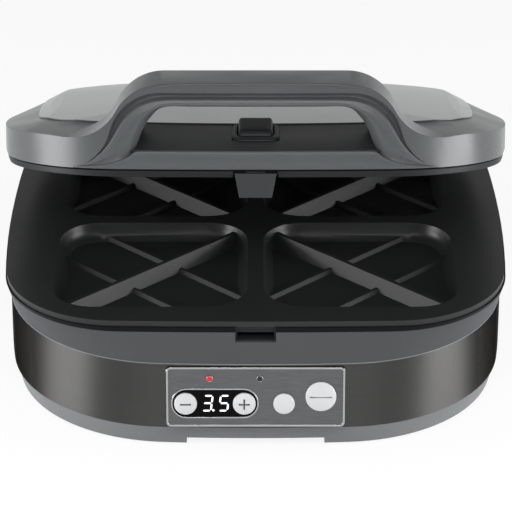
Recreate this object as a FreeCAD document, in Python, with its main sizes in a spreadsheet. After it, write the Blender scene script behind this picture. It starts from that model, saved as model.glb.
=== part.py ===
import FreeCAD, Part
import Sketcher
import math
import os
from types import SimpleNamespace

# Four-slice sandwich maker: a base with the lower grill plate, and a lid that turns on a rear hinge.
# Millimetres, +Z up, front towards -Y. The origin is on the table under the middle of the base.
# The lid is drawn closed and placed open by lid_open about the hinge axis.

doc = FreeCAD.newDocument("sandwich_maker")
dims = doc.addObject("Spreadsheet::Sheet", "dims")

SIZES = {
    # outlines: half width, depth steps, and the radii of the front, side and corner arcs
    "skirt_foot_half_width": 166.0,
    "skirt_foot_setback": 6.0,
    "skirt_foot_front_radius": 950.0,
    "skirt_foot_side_radius": 540.0,
    "skirt_foot_corner_radius": 107.0,
    "skirt_top_half_width": 169.0,
    "skirt_top_setback": 3.5,
    "skirt_top_front_radius": 1500.0,
    "skirt_top_side_radius": 520.0,
    "skirt_top_corner_radius": 107.0,
    "band_foot_half_width": 170.5,
    "band_foot_setback": 2.5,
    "band_foot_front_radius": 1500.0,
    "band_foot_side_radius": 515.0,
    "band_foot_corner_radius": 108.0,
    "crease_half_width": 170.0,
    "crease_flare": 6.0,
    "crease_front_radius": 1270.0,
    "crease_side_radius": 520.0,
    "crease_corner_radius": 109.0,
    "rim_half_width": 169.0,
    "plate_land": 20.0,
    "rim_front_radius": 3200.0,
    "rim_side_radius": 1150.0,
    "rim_corner_radius": 76.0,
    "lid_half_width": 168.6,
    "lid_overhang": 3.0,
    "lid_hinge_gap": 9.0,
    "lid_front_radius": 1270.0,
    "lid_side_radius": 520.0,
    "lid_corner_radius": 86.0,
    "inlay_half_width": 146.0,
    "inlay_rear_border": 29.7,
    "inlay_front_radius": 900.0,
    "inlay_side_radius": 900.0,
    "inlay_corner_radius": 46.0,
    # base, from the table up
    "foot_stand": 1.5,
    "foot_seat_depth": 1.5,
    "foot_radius": 9.0,
    "foot_x": 95.0,
    "foot_setback": 37.0,
    "skirt_height": 13.5,
    "skirt_wall": 3.0,
    "arch_height": 4.5,
    "arch_half_width": 45.0,
    "side_arch_half_depth": 60.0,
    "floor_thickness": 2.5,
    "lip_inset": 2.5,
    "lip_wall": 2.0,
    "lip_height": 6.0,
    "lip_root": 2.0,
    "seam_gap": 0.8,
    "band_height": 48.2,
    "band_thickness": 1.0,
    "frame_height": 24.0,
    "frame_wall": 3.0,
    "frame_reveal": 1.0,
    "flange_thickness": 3.0,
    "collar_inset": 1.8,
    "collar_wall": 2.5,
    "collar_drop": 8.0,
    "fit_gap": 0.3,
    # screws and bosses
    "post_x": 150.0,
    "post_y": 75.0,
    "post_radius": 5.0,
    "post_top": 52.0,
    "post_web": 3.0,
    "post_cap": 6.0,
    "screw_radius": 1.6,
    "screw_head_radius": 3.0,
    "screw_head_height": 2.2,
    "screw_bite": 14.0,
    "screw_slack": 0.2,
    "vent_start": 8.0,
    "vent_end": 38.0,
    "vent_width": 3.0,
    "vent_pitch": 9.0,
    "vent_centre": -40.0,
    "plate_screw_x": 148.0,
    "plate_screw_y": 100.0,
    "plate_screw_bite": 2.5,
    # grill plates
    "plate_margin": 4.0,
    "plate_wall": 2.5,
    "plate_back_setback": 24.0,
    "well_depth": 11.5,
    "well_width": 128.0,
    "well_length": 123.5,
    "well_divider": 10.0,
    "well_centre": -20.5,
    "well_corner": 28.0,
    "well_draft": 2.5,
    "well_round": 4.5,
    "well_round_height": 4.0,
    "plate_opening_gap": 3.0,
    "ridge_foot": 9.0,
    "ridge_crest": 2.2,
    "ridge_drop": 3.0,
    "rib_foot": 4.0,
    "rib_crest": 1.5,
    "rib_height": 2.4,
    "rib_offset": 30.0,
    "cut_over": 1.0,
    "closed_gap": 1.0,
    "heater_radius": 2.75,
    "heater_gap": 0.05,
    "heater_half_width": 69.0,
    "heater_half_length": 66.5,
    "heater_bend": 20.0,
    "heater_lead": 12.0,
    "heater_tail": 26.0,
    "reflector_half_width": 122.0,
    "reflector_margin": 31.0,
    "reflector_depth": 6.9,
    "reflector_sheet": 0.6,
    "reflector_corner": 12.0,
    "reflector_shift": 8.5,
    "sensor_radius": 5.0,
    "sensor_height": 5.5,
    "fuse_radius": 2.2,
    "fuse_length": 24.0,
    "fuse_x": 34.0,
    # control panel, drawn flat and leaned back
    "panel_width": 115.0,
    "panel_height": 41.0,
    "panel_corner": 3.0,
    "panel_lean": 8.0,
    "panel_stand": 4.441,
    "panel_z": 42.0,
    "panel_sheet": 2.0,
    "bezel_wall": 1.3,
    "bezel_proud": 0.5,
    "bezel_depth": 9.0,
    "display_x": -26.2,
    "display_v": -4.4,
    "display_width": 54.5,
    "display_height": 18.8,
    "display_corner": 9.0,
    "display_proud": 0.3,
    "trim_wall": 0.9,
    "trim_proud": 0.5,
    "key_reach": 18.9,
    "key_radius": 7.3,
    "extra_x": 18.3,
    "extra_radius": 6.9,
    "start_x": 42.0,
    "start_v": 0.6,
    "start_radius": 9.9,
    "key_proud": 1.3,
    "key_depth": 5.2,
    "key_flange": 0.8,
    "key_flange_height": 1.2,
    "key_stem_radius": 2.0,
    "key_gap": 0.25,
    "lamp_centre": -13.4,
    "lamp_x": 16.1,
    "lamp_v": 12.8,
    "lamp_radius": 1.7,
    "lamp_proud": 0.6,
    "digits_width": 21.0,
    "digits_height": 14.0,
    "board_depth": 9.4,
    "board_thickness": 1.6,
    "board_width": 104.0,
    "board_height": 33.0,
    "board_post": 1.5,
    "board_post_inset": 1.5,
    "switch_side": 6.0,
    "switch_height": 3.4,
    # power board in the base
    "power_x": 75.0,
    "power_y": 20.0,
    "power_width": 90.0,
    "power_length": 60.0,
    "standoff_radius": 3.0,
    "standoff_height": 6.0,
    "standoff_inset": 6.0,
    "relay_width": 15.0,
    "relay_length": 19.0,
    "relay_height": 15.0,
    "coil_width": 30.0,
    "coil_length": 26.0,
    "coil_height": 22.0,
    "gland_z": 34.0,
    "gland_radius": 7.0,
    "gland_flange_radius": 9.5,
    "gland_flange": 7.0,
    "gland_depth": 14.0,
    "cord_radius": 3.9,
    # hinge
    "hinge_x": 80.0,
    "hinge_setback": 8.0,
    "hinge_rise": 8.5,
    "hinge_plate": 2.0,
    "hinge_ear": 6.0,
    "hinge_ear_radius": 6.2,
    "hinge_half_width": 15.0,
    "hinge_side_gap": 0.4,
    "knuckle_radius": 6.0,
    "pin_radius": 2.5,
    "pin_clearance": 0.06,
    "pin_overhang": 0.6,
    "arm_width": 14.0,
    "arm_thickness": 5.0,
    "arm_length": 23.0,
    "lid_open": 16.7,
    # lid
    "lid_rim_inset": 1.2,
    "lid_plate_inset": 5.0,
    "lid_flange_inset": 8.0,
    "lid_flange_thickness": 2.0,
    "lid_wall": 3.0,
    "lid_skin": 2.5,
    "lid_blank": 34.0,
    "lid_tab_radius": 5.0,
    "lid_post_radius": 3.6,
    "lid_post_x": 157.5,
    "lid_post_front": -62.0,
    "lid_post_back": 44.0,
    "lid_screw_bite": 9.0,
    "shoulder_front": 22.3,
    "tray_back_rise": 27.0,
    "shoulder_foot": 14.2,
    "shoulder_fall": 3.88,
    "shoulder_spread": 6.0,
    "shoulder_inset": 30.0,
    "shoulder_top": 28.5,
    "crown_inset": 70.0,
    "crown_top": 36.5,
    "crown_run": 112.0,
    "dome_radius": 1500.0,
    "dome_top": 35.7,
    "dome_y": -20.0,
    "inlay_thickness": 0.8,
    "inlay_bond": 0.1,
    # handle arch, seen from the front
    "arch_start": 117.0,
    "arch_end": 57.0,
    "arch_foot": 23.0,
    "arch_crease": 58.2,
    "arch_root": 10.0,
    "crown_swell": 0.8,
    "crown_lift": 5.6,
    "crown_foot_lift": 2.0,
    "handle_crown_run": 32.0,
    "handle_back_run": 44.0,
    "handle_back_drop": 3.0,
    "grip_start": 122.0,
    "grip_end": 60.0,
    "grip_foot": 4.0,
    "grip_top": 52.9,
    "grip_root": -5.0,
    "grip_setback": 0.6,
    "mouth_foot": 76.0,
    "mouth_sill": 16.5,
    "mouth_knee_x": 66.0,
    "mouth_knee": 35.0,
    "mouth_head": 51.6,
    "mouth_top": 43.6,
    "mouth_round": 16.4,
    "grip_front": 3.0,
    "grip_back_run": 42.5,
    "tray_run": 50.3,
    "tray_thickness": 1.6,
    # latch
    "latch_bezel_half_width": 15.0,
    "latch_bezel_run": 21.0,
    "latch_bezel_proud": 1.5,
    "latch_bezel_below": 0.5,
    "cap_half_width": 11.0,
    "cap_front_run": 27.0,
    "cap_back_run": 45.4,
    "cap_front_top": 23.2,
    "cap_back_top": 30.2,
    "cap_gap": 0.5,
    "cap_back_gap": 2.4,
    "latch_axis_run": 14.0,
    "latch_axis_rise": 11.5,
    "latch_pin_radius": 1.5,
    "latch_boss_radius": 3.0,
    "latch_boss_half_width": 12.0,
    "latch_lug": 4.0,
    "latch_lug_gap": 0.5,
    "latch_lug_drop": 4.0,
    "latch_lug_head": 3.1,
    "latch_lug_back": 3.5,
    "arm_half_width": 6.0,
    "arm_sheet": 2.2,
    "arm_front_run": 20.0,
    "arm_front_rise": 15.2,
    "arm_slope": 0.154,
    "tongue_half_width": 13.0,
    "tongue_tip_half_width": 10.2,
    "tongue_stand": 0.4,
    "tongue_thickness": 3.0,
    "tongue_top_rise": 2.6,
    "tongue_shelf": 2.4,
    "tongue_drop": 12.5,
    "neck_front": 4.2,
    "neck_back": 7.9,
    "barb_depth": 2.8,
    "barb_height": 3.0,
    "barb_chamfer": 1.2,
    "notch_half_width": 14.0,
    "notch_depth": 12.0,
    "strike_half_width": 13.0,
    "strike_height": 9.5,
    "strike_front": 0.4,
    "strike_depth": 12.0,
    "strike_wall": 1.2,
    "strike_lip_height": 3.8,
    "strike_lip_front": 0.8,
    "strike_lip_depth": 5.0,
    "spring_wire": 0.4,
    "spring_pitch": 1.0,
    "spring_length": 4.0,
    "spring_gap": 0.3,
}

for row, (alias, number) in enumerate(SIZES.items(), start=1):
    dims.set("A%d" % row, alias)
    dims.set("B%d" % row, str(number))
    dims.setAlias("B%d" % row, alias)
doc.recompute()


class Size:
    """A number of the sheet, or a sum of them, with the expression that binds it."""

    def __init__(self, value, text):
        self.value = value
        self.text = text

    def join(self, other, sign, value):
        return Size(value, "(%s %s %s)" % (self.text, sign, other.text))

    def __add__(self, other):
        other = as_size(other)
        return self.join(other, "+", self.value + other.value)

    def __sub__(self, other):
        other = as_size(other)
        return self.join(other, "-", self.value - other.value)

    def __mul__(self, other):
        other = as_size(other)
        return self.join(other, "*", self.value * other.value)

    def __truediv__(self, other):
        other = as_size(other)
        return self.join(other, "/", self.value / other.value)

    def __neg__(self):
        return as_size(0) - self


def as_size(number):
    return number if isinstance(number, Size) else Size(float(number), "%g" % number)


s = SimpleNamespace(**{alias: Size(float(getattr(dims, alias)), "dims." + alias) for alias in SIZES})
ZERO = as_size(0)
OUTLINE_PARTS = ("half_width", "half_depth", "front_radius", "side_radius", "corner_radius")

# depths that follow from the wells: the base's outlines, then the hinge and the lid's front and back
s.rim_half_depth = s.well_length + s.well_divider / 2 - s.well_centre + s.plate_land
s.crease_half_depth = s.rim_half_depth + s.crease_flare
s.band_foot_half_depth = s.crease_half_depth - s.band_foot_setback
s.skirt_top_half_depth = s.crease_half_depth - s.skirt_top_setback
s.skirt_foot_half_depth = s.crease_half_depth - s.skirt_foot_setback
foot_y = s.rim_half_depth - s.foot_setback
plate_back = s.rim_half_depth - s.plate_back_setback
hinge_y = s.rim_half_depth - s.hinge_setback
lid_front = ZERO - s.rim_half_depth - s.lid_overhang
lid_back = hinge_y - s.lid_hinge_gap
lid_centre = (lid_front + lid_back) / 2
s.lid_half_depth = (lid_back - lid_front) / 2
tray_back_y = lid_front + s.tray_run
s.inlay_half_depth = (lid_back - s.inlay_rear_border - tray_back_y) / 2

# the band's outline at the foot of the collar that stands inside it
collar_fall = s.collar_drop / s.band_height
for part in OUTLINE_PARTS:
    crease_size = getattr(s, "crease_" + part)
    setattr(s, "collar_" + part, crease_size + (getattr(s, "band_foot_" + part) - crease_size) * collar_fall)


def bind(obj, name, size):
    obj.setExpression(name, as_size(size).text)


def put(obj, x=0, y=0, z=0):
    place = [as_size(x), as_size(y), as_size(z)]
    obj.Placement.Base = FreeCAD.Vector(*[size.value for size in place])
    for axis, size in zip("xyz", place):
        bind(obj, "Placement.Base." + axis, size)
    return obj


def turn(obj, axis, angle):
    angle = as_size(angle)
    obj.Placement.Rotation = FreeCAD.Rotation(FreeCAD.Vector(*axis), angle.value)
    bind(obj, "Placement.Rotation.Angle", angle)
    return obj


# primitives and booleans

def box(name, x_span, y_span, z_span):
    obj = doc.addObject("Part::Box", name)
    starts = []
    for prop, span in zip(("Length", "Width", "Height"), (x_span, y_span, z_span)):
        low, high = as_size(span[0]), as_size(span[1])
        bind(obj, prop, high - low)
        starts.append(low)
    return put(obj, *starts)


AXES = {"x": ((0, 1, 0), 90), "y": ((1, 0, 0), -90), "z": ((0, 0, 1), 0)}


def rod(name, axis, radius, start, length):
    """A cylinder that runs from start along +X, +Y or +Z."""
    obj = doc.addObject("Part::Cylinder", name)
    bind(obj, "Radius", radius)
    bind(obj, "Height", length)
    direction, angle = AXES[axis]
    obj.Placement.Rotation = FreeCAD.Rotation(FreeCAD.Vector(*direction), angle)
    return put(obj, *start)


def fuse(name, shapes):
    obj = doc.addObject("Part::MultiFuse", name)
    obj.Shapes = shapes
    obj.Refine = True
    return obj


def group(name, shapes):
    obj = doc.addObject("Part::Compound", name)
    obj.Links = shapes
    return obj


def cut(name, base, tools):
    obj = doc.addObject("Part::Cut", name)
    obj.Base = base
    obj.Tool = tools[0] if len(tools) == 1 else group(name + "_tools", tools)
    obj.Refine = True
    return obj


def common(name, shapes):
    obj = doc.addObject("Part::MultiCommon", name)
    obj.Shapes = shapes
    obj.Refine = True
    return obj


def mirror(name, source, normal, through):
    obj = doc.addObject("Part::Mirroring", name)
    obj.Source = source
    obj.Normal = FreeCAD.Vector(*normal)
    axis = "xyz"[normal.index(1)]
    bind(obj, "Base." + axis, through)
    return obj


# sketches and features of a body

def new_body(name):
    return doc.addObject("PartDesign::Body", name)


def new_sketch(body, role, offset):
    """A sketch on one of the body's origin planes, moved along the plane's normal."""
    sketch = body.newObject("Sketcher::SketchObject", body.Name + "_sketch")
    plane = next(item for item in body.Origin.OriginFeatures if item.Role == role)
    sketch.AttachmentSupport = (plane, [""])
    sketch.MapMode = "FlatFace"
    offset = as_size(offset)
    sketch.AttachmentOffset.Base = FreeCAD.Vector(0, 0, offset.value)
    bind(sketch, "AttachmentOffset.Base.z", offset)
    return sketch


def hold(sketch, kind, places, size):
    number = sketch.addConstraint(Sketcher.Constraint(kind, *places, as_size(size).value))
    bind(sketch, "Constraints[%d]" % number, size)


def hold_point(sketch, geometry, end, x, y):
    hold(sketch, "DistanceX", (-1, 1, geometry, end), x)
    hold(sketch, "DistanceY", (-1, 1, geometry, end), y)


def draw_path(sketch, points, closed=True):
    """Straight edges and arcs through points; (x, y, radius) starts an arc, left turning if positive."""
    points = [tuple(as_size(item) for item in point) for point in points]
    first = sketch.GeometryCount
    count = len(points) if closed else len(points) - 1
    for index in range(count):
        start = points[index]
        end = points[(index + 1) % len(points)]
        a = FreeCAD.Vector(start[0].value, start[1].value, 0)
        b = FreeCAD.Vector(end[0].value, end[1].value, 0)
        if len(start) == 2:
            sketch.addGeometry(Part.LineSegment(a, b), False)
            continue
        left = start[2].value > 0
        radius = abs(start[2].value)
        chord = b - a
        side = FreeCAD.Vector(-chord.y, chord.x, 0).normalize()
        rise = math.sqrt(max(radius ** 2 - (chord.Length / 2) ** 2, 0))
        centre = (a + b) * 0.5 + side * (rise if left else -rise)
        low, high = (a, b) if left else (b, a)
        angles = [math.atan2(p.y - centre.y, p.x - centre.x) for p in (low, high)]
        circle = Part.Circle(centre, FreeCAD.Vector(0, 0, 1), radius)
        sketch.addGeometry(Part.ArcOfCircle(circle, *angles), False)
    ends = []
    for index in range(count):
        turned = len(points[index]) == 3 and points[index][2].value < 0
        ends.append((2, 1) if turned else (1, 2))
    for index in range(count):
        following = (index + 1) % count
        if closed or index + 1 < count:
            joint = (first + index, ends[index][1], first + following, ends[following][0])
            sketch.addConstraint(Sketcher.Constraint("Coincident", *joint))
    for index in range(count):
        hold_point(sketch, first + index, ends[index][0], points[index][0], points[index][1])
        if len(points[index]) == 3:
            radius = points[index][2]
            hold(sketch, "Radius", (first + index,), radius if radius.value > 0 else -radius)
    if not closed:
        hold_point(sketch, first + count - 1, ends[-1][1], points[-1][0], points[-1][1])
    return sketch


def round_rect(sketch, x_span, y_span, radius):
    x0, x1 = as_size(x_span[0]), as_size(x_span[1])
    y0, y1 = as_size(y_span[0]), as_size(y_span[1])
    radius = as_size(radius)
    return draw_path(sketch, [
        (x0 + radius, y0), (x1 - radius, y0, radius),
        (x1, y0 + radius), (x1, y1 - radius, radius),
        (x1 - radius, y1), (x0 + radius, y1, radius),
        (x0, y1 - radius), (x0, y0 + radius, radius),
    ])


def draw_outline(sketch, shape, inset=0, centre=0):
    """Eight tangent arcs: bowed front, sides and back joined by round corners."""
    inset = as_size(inset)
    centre = as_size(centre)
    wide, deep, bow, flank, corner = [getattr(s, shape + "_" + part) - inset for part in OUTLINE_PARTS]
    lift = bow - deep
    slide = flank - wide
    front = FreeCAD.Vector(0, lift.value, 0)
    left = FreeCAD.Vector(slide.value, 0, 0)
    reach_front = bow.value - corner.value
    reach_left = flank.value - corner.value
    span = left - front
    along = (reach_front ** 2 - reach_left ** 2 + span.Length ** 2) / (2 * span.Length)
    across = math.sqrt(reach_front ** 2 - along ** 2)
    unit = span.normalize()
    foot = front + unit * along
    normal = FreeCAD.Vector(-unit.y, unit.x, 0)
    choices = [foot + normal * across, foot - normal * across]
    nook = min(choices, key=lambda point: point.x + point.y)
    front_angle = math.atan2(nook.y - front.y, nook.x - front.x)
    left_angle = math.atan2(nook.y - left.y, nook.x - left.x)
    a = abs(front_angle) - math.pi / 2
    b = math.pi - abs(left_angle)
    x, y = abs(nook.x), abs(nook.y)
    right = math.pi / 2
    arcs = [
        (0, lift.value, bow, -right - a, -right + a),
        (x, -y, corner, -right + a, -b),
        (-slide.value, 0, flank, -b, b),
        (x, y, corner, b, right - a),
        (0, -lift.value, bow, right - a, right + a),
        (-x, y, corner, right + a, math.pi - b),
        (slide.value, 0, flank, math.pi - b, math.pi + b),
        (-x, -y, corner, math.pi + b, math.pi + right - a),
    ]
    first = sketch.GeometryCount
    for cx, cy, radius, low, high in arcs:
        circle = Part.Circle(FreeCAD.Vector(cx, cy + centre.value, 0), FreeCAD.Vector(0, 0, 1), radius.value)
        sketch.addGeometry(Part.ArcOfCircle(circle, low, high), False)
    for index in range(8):
        joint = (first + index, 2, first + (index + 1) % 8, 1)
        sketch.addConstraint(Sketcher.Constraint("Tangent", *joint))
    for index, arc in enumerate(arcs):
        hold(sketch, "Radius", (first + index,), arc[2])
    hold_point(sketch, first, 3, 0, centre + lift)
    hold_point(sketch, first + 4, 3, 0, centre - lift)
    hold_point(sketch, first + 2, 3, -slide, centre)
    hold_point(sketch, first + 6, 3, slide, centre)
    return sketch


def pad(body, sketch, length, back=False):
    feature = body.newObject("PartDesign::Pad", body.Name + "_pad")
    feature.Profile = sketch
    feature.Reversed = back
    bind(feature, "Length", length)
    doc.recompute()
    return feature


def pocket(body, sketch, length, back=False):
    before = body.Shape.Volume
    feature = body.newObject("PartDesign::Pocket", body.Name + "_pocket")
    feature.Profile = sketch
    feature.Reversed = back
    bind(feature, "Length", length)
    doc.recompute()
    if not body.Shape.Volume < before:
        raise ValueError("pocket of " + body.Label + " cuts nothing")
    return feature


def loft(body, kind, sketches):
    feature = body.newObject("PartDesign::" + kind, body.Name + "_loft")
    feature.Profile = sketches[0]
    feature.Sections = sketches[1:]
    feature.Ruled = True
    doc.recompute()
    return feature


def outline_prism(name, shape, inset, z_span, centre=0):
    body = new_body(name)
    sketch = draw_outline(new_sketch(body, "XY_Plane", z_span[0]), shape, inset, centre)
    pad(body, sketch, as_size(z_span[1]) - z_span[0])
    return body


def outline_ring(name, shape, insets, z_span, centre=0):
    body = new_body(name)
    sketch = new_sketch(body, "XY_Plane", z_span[0])
    for inset in insets:
        draw_outline(sketch, shape, inset, centre)
    pad(body, sketch, as_size(z_span[1]) - z_span[0])
    return body


def side_prism(name, points, x_span):
    """A profile in Y and Z, drawn out along X."""
    body = new_body(name)
    sketch = draw_path(new_sketch(body, "YZ_Plane", x_span[0]), points)
    pad(body, sketch, as_size(x_span[1]) - x_span[0])
    return body


def front_prism(name, points, y_span):
    """A profile in X and Z, drawn out along Y."""
    body = new_body(name)
    sketch = draw_path(new_sketch(body, "XZ_Plane", -as_size(y_span[0])), points)
    pad(body, sketch, as_size(y_span[1]) - y_span[0], back=True)
    return body


def four(x, y):
    return [(x, y), (-x, y), (x, -y), (-x, -y)]


nodes = []


def finish(node, obj):
    obj.Label = node
    nodes.append(obj)
    return obj


# levels of the base, from the table up
skirt_z = s.foot_stand + s.skirt_height
floor_z = s.foot_stand + s.arch_height + s.floor_thickness
band_z = skirt_z + s.seam_gap
crease_z = band_z + s.band_height
frame_z = crease_z + s.frame_height
plate_z = frame_z + s.plate_margin
well_z = plate_z - s.well_depth
plate_under = well_z - s.plate_wall
mid_z = plate_z + s.closed_gap / 2
lid_z = plate_z + s.closed_gap
reach = s.crease_half_depth * 2


def band_y(z):
    """How far the band stands out at its middle, front and back, at a height."""
    return s.band_foot_half_depth + s.band_foot_setback * (z - band_z) / s.band_height



# levels and frame of the lid, drawn closed
lid_rim_z = lid_z + s.plate_margin
cover_z = lid_rim_z + s.seam_gap
hinge_z = plate_z + s.hinge_rise
LID_Y = "%s * (1 - cos(%s)) - %s * sin(%s)" % (hinge_y.text, s.lid_open.text, hinge_z.text, s.lid_open.text)
LID_Z = "%s * (1 - cos(%s)) + %s * sin(%s)" % (hinge_z.text, s.lid_open.text, hinge_y.text, s.lid_open.text)


def finish_lid(node, obj):
    """Names a piece of the lid and turns it open about the hinge."""
    turn(obj, (1, 0, 0), -s.lid_open)
    obj.setExpression("Placement.Base.y", LID_Y)
    obj.setExpression("Placement.Base.z", LID_Z)
    return finish(node, obj)


# window of the control panel, cut through what it passes
def lean(obj):
    """Stands a piece drawn on the panel's flat up against the front of the base."""
    turn(obj, (1, 0, 0), as_size(90) - s.panel_lean)
    return put(obj, 0, -band_y(s.panel_z) - s.panel_stand, s.panel_z)


def panel_block(name, grow, w_span):
    body = new_body(name)
    grow = as_size(grow)
    half_x = s.panel_width / 2 + grow
    half_v = s.panel_height / 2 + grow
    sketch = new_sketch(body, "XY_Plane", w_span[0])
    round_rect(sketch, (-half_x, half_x), (-half_v, half_v), s.panel_corner + grow)
    pad(body, sketch, as_size(w_span[1]) - w_span[0])
    return body


window = lean(panel_block("window", s.fit_gap, (-s.bezel_depth * 2, s.bezel_depth)))

# base tray: skirt, floor with foot arches, lip inside the band, screw posts and board standoffs
tray_body = new_body("tray_body")
loft(tray_body, "AdditiveLoft", [
    draw_outline(new_sketch(tray_body, "XY_Plane", s.foot_stand), "skirt_foot"),
    draw_outline(new_sketch(tray_body, "XY_Plane", skirt_z), "skirt_top"),
])
pocket(tray_body, draw_outline(new_sketch(tray_body, "XY_Plane", skirt_z), "skirt_top", s.skirt_wall),
       skirt_z - floor_z)
lip = outline_ring("lip", "band_foot", (s.lip_inset, s.lip_inset + s.lip_wall),
                   (skirt_z - s.lip_root, skirt_z + s.lip_height))
feet_spots = four(s.foot_x, foot_y)
post_spots = four(s.post_x, s.post_y)
power_spots = [
    (s.power_x + x, s.power_y + y)
    for x, y in four(s.power_width / 2 - s.standoff_inset, s.power_length / 2 - s.standoff_inset)
]
tray_parts = [tray_body, lip]
tray_cuts = [
    box("arch_front", (-s.arch_half_width, s.arch_half_width), (-reach, reach),
        (ZERO, s.foot_stand + s.arch_height)),
    box("arch_side", (-reach, reach), (-s.side_arch_half_depth, s.side_arch_half_depth),
        (ZERO, s.foot_stand + s.arch_height)),
]
for x, y in feet_spots:
    tray_cuts.append(rod("foot_seat", "z", s.foot_radius, (x, y, 0), s.foot_stand + s.foot_seat_depth))
for x, y in post_spots:
    tray_parts.append(rod("post", "z", s.post_radius, (x, y, s.foot_stand + s.arch_height),
                          s.post_top - s.foot_stand - s.arch_height))
    tray_cuts.append(rod("post_well", "z", s.screw_head_radius + s.screw_slack, (x, y, 0),
                         s.post_top - s.post_cap))
    tray_cuts.append(rod("post_bore", "z", s.screw_radius + s.screw_slack, (x, y, 0),
                         s.post_top + s.cut_over))
for x, y in power_spots:
    tray_parts.append(rod("standoff", "z", s.standoff_radius, (x, y, floor_z), s.standoff_height))
for start, end in ((s.vent_start, s.vent_end), (-s.vent_end, -s.vent_start)):
    for step in range(-2, 3):
        middle = s.vent_centre + s.vent_pitch * step
        tray_cuts.append(box("vent", (start, end), (middle - s.vent_width / 2, middle + s.vent_width / 2),
                             (ZERO, floor_z + s.cut_over)))
finish("base_tray", cut("base_tray", fuse("tray_solid", tray_parts), tray_cuts))

finish("rubber_feet", group("rubber_feet", [
    rod("foot", "z", s.foot_radius, (x, y, 0), s.foot_stand + s.foot_seat_depth) for x, y in feet_spots]))

finish("tray_screws", group("tray_screws", [
    fuse("tray_screw", [
        rod("head", "z", s.screw_head_radius, (x, y, s.post_top - s.post_cap - s.screw_head_height),
            s.screw_head_height),
        rod("shank", "z", s.screw_radius, (x, y, s.post_top - s.post_cap), s.post_cap + s.screw_bite),
    ]) for x, y in post_spots]))

# steel band round the base, with the panel window in front and the cord hole behind
band_body = new_body("band_body")
for kind, inset in (("AdditiveLoft", ZERO), ("SubtractiveLoft", s.band_thickness)):
    loft(band_body, kind, [
        draw_outline(new_sketch(band_body, "XY_Plane", band_z), "band_foot", inset),
        draw_outline(new_sketch(band_body, "XY_Plane", crease_z), "crease", inset),
    ])
cord_hole = rod("cord_hole", "y", s.gland_radius + s.fit_gap, (0, 0, s.gland_z), reach)
finish("steel_band", cut("steel_band", band_body, [window, cord_hole]))

gland_y = band_y(s.gland_z + s.gland_flange_radius)
finish("cord_gland", cut("cord_gland", fuse("gland_solid", [
    rod("gland_barrel", "y", s.gland_radius, (0, gland_y - s.gland_depth, s.gland_z), s.gland_depth),
    rod("gland_flange", "y", s.gland_flange_radius, (0, gland_y, s.gland_z), s.gland_flange),
]), [rod("gland_bore", "y", s.cord_radius, (0, 0, s.gland_z), reach)]))

# footprint of the wells, shared by the plates and the frame's opening
block_x = s.well_divider / 2 + s.well_width + s.plate_wall
block_y = s.well_divider / 2 + s.well_length + s.plate_wall
block_corner = s.well_corner + s.plate_wall


def draw_block(sketch, grow):
    grow = as_size(grow)
    half_y = block_y + grow
    return round_rect(sketch, (-block_x - grow, block_x + grow),
                      (s.well_centre - half_y, s.well_centre + half_y), block_corner + grow)


# upper frame of the base: sloping wall, flange for the plate, collar inside the band, rear deck, bosses
frame_body = new_body("frame_body")
loft(frame_body, "AdditiveLoft", [
    draw_outline(new_sketch(frame_body, "XY_Plane", crease_z), "crease"),
    draw_outline(new_sketch(frame_body, "XY_Plane", frame_z), "rim", -s.frame_reveal),
])
loft(frame_body, "SubtractiveLoft", [
    draw_outline(new_sketch(frame_body, "XY_Plane", crease_z), "crease", s.frame_wall),
    draw_outline(new_sketch(frame_body, "XY_Plane", frame_z - s.flange_thickness), "rim",
                 s.frame_wall - s.frame_reveal),
])
pocket(frame_body, draw_block(new_sketch(frame_body, "XY_Plane", frame_z), s.plate_opening_gap),
       s.flange_thickness)
collar = new_body("collar")
for kind, inset in (("AdditiveLoft", s.collar_inset), ("SubtractiveLoft", s.collar_inset + s.collar_wall)):
    loft(collar, kind, [
        draw_outline(new_sketch(collar, "XY_Plane", crease_z - s.collar_drop), "collar", inset),
        draw_outline(new_sketch(collar, "XY_Plane", crease_z), "crease", inset),
    ])
deck = cut("deck", outline_prism("deck_blank", "rim", 0, (frame_z, plate_z)),
           [box("deck_front", (-reach, reach), (-reach, plate_back + s.fit_gap), (ZERO, plate_z * 2))])
flange_z = frame_z - s.flange_thickness
web_end = s.rim_half_width - s.frame_wall
frame_parts = [frame_body, collar, deck]
notch_front = -s.rim_half_depth
frame_cuts = [
    window,
    box("strike_notch", (-s.strike_half_width, s.strike_half_width), (-reach, notch_front + s.strike_depth),
        (frame_z - s.strike_height, frame_z)),
]
for x, y in post_spots:
    frame_parts.append(rod("boss", "z", s.post_radius, (x, y, s.post_top), frame_z - s.post_top))
    edges = (x, web_end) if x.value > 0 else (-web_end, x)
    frame_parts.append(box("web", edges, (y - s.post_web / 2, y + s.post_web / 2),
                           (crease_z + s.frame_wall, frame_z)))
    frame_cuts.append(rod("pilot", "z", s.screw_radius, (x, y, 0), s.post_top + s.screw_bite))
plate_screw_spots = four(s.plate_screw_x, s.plate_screw_y)
for x, y in plate_screw_spots:
    frame_cuts.append(rod("flange_hole", "z", s.screw_radius + s.screw_slack, (x, y, flange_z - s.cut_over),
                          s.flange_thickness + s.cut_over * 2))
finish("base_frame", cut("base_frame", fuse("frame_solid", frame_parts), frame_cuts))

finish("plate_screws", group("plate_screws", [
    fuse("plate_screw", [
        rod("head", "z", s.screw_head_radius, (x, y, flange_z - s.screw_head_height), s.screw_head_height),
        rod("shank", "z", s.screw_radius, (x, y, flange_z), s.flange_thickness + s.plate_screw_bite),
    ]) for x, y in plate_screw_spots]))

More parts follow.
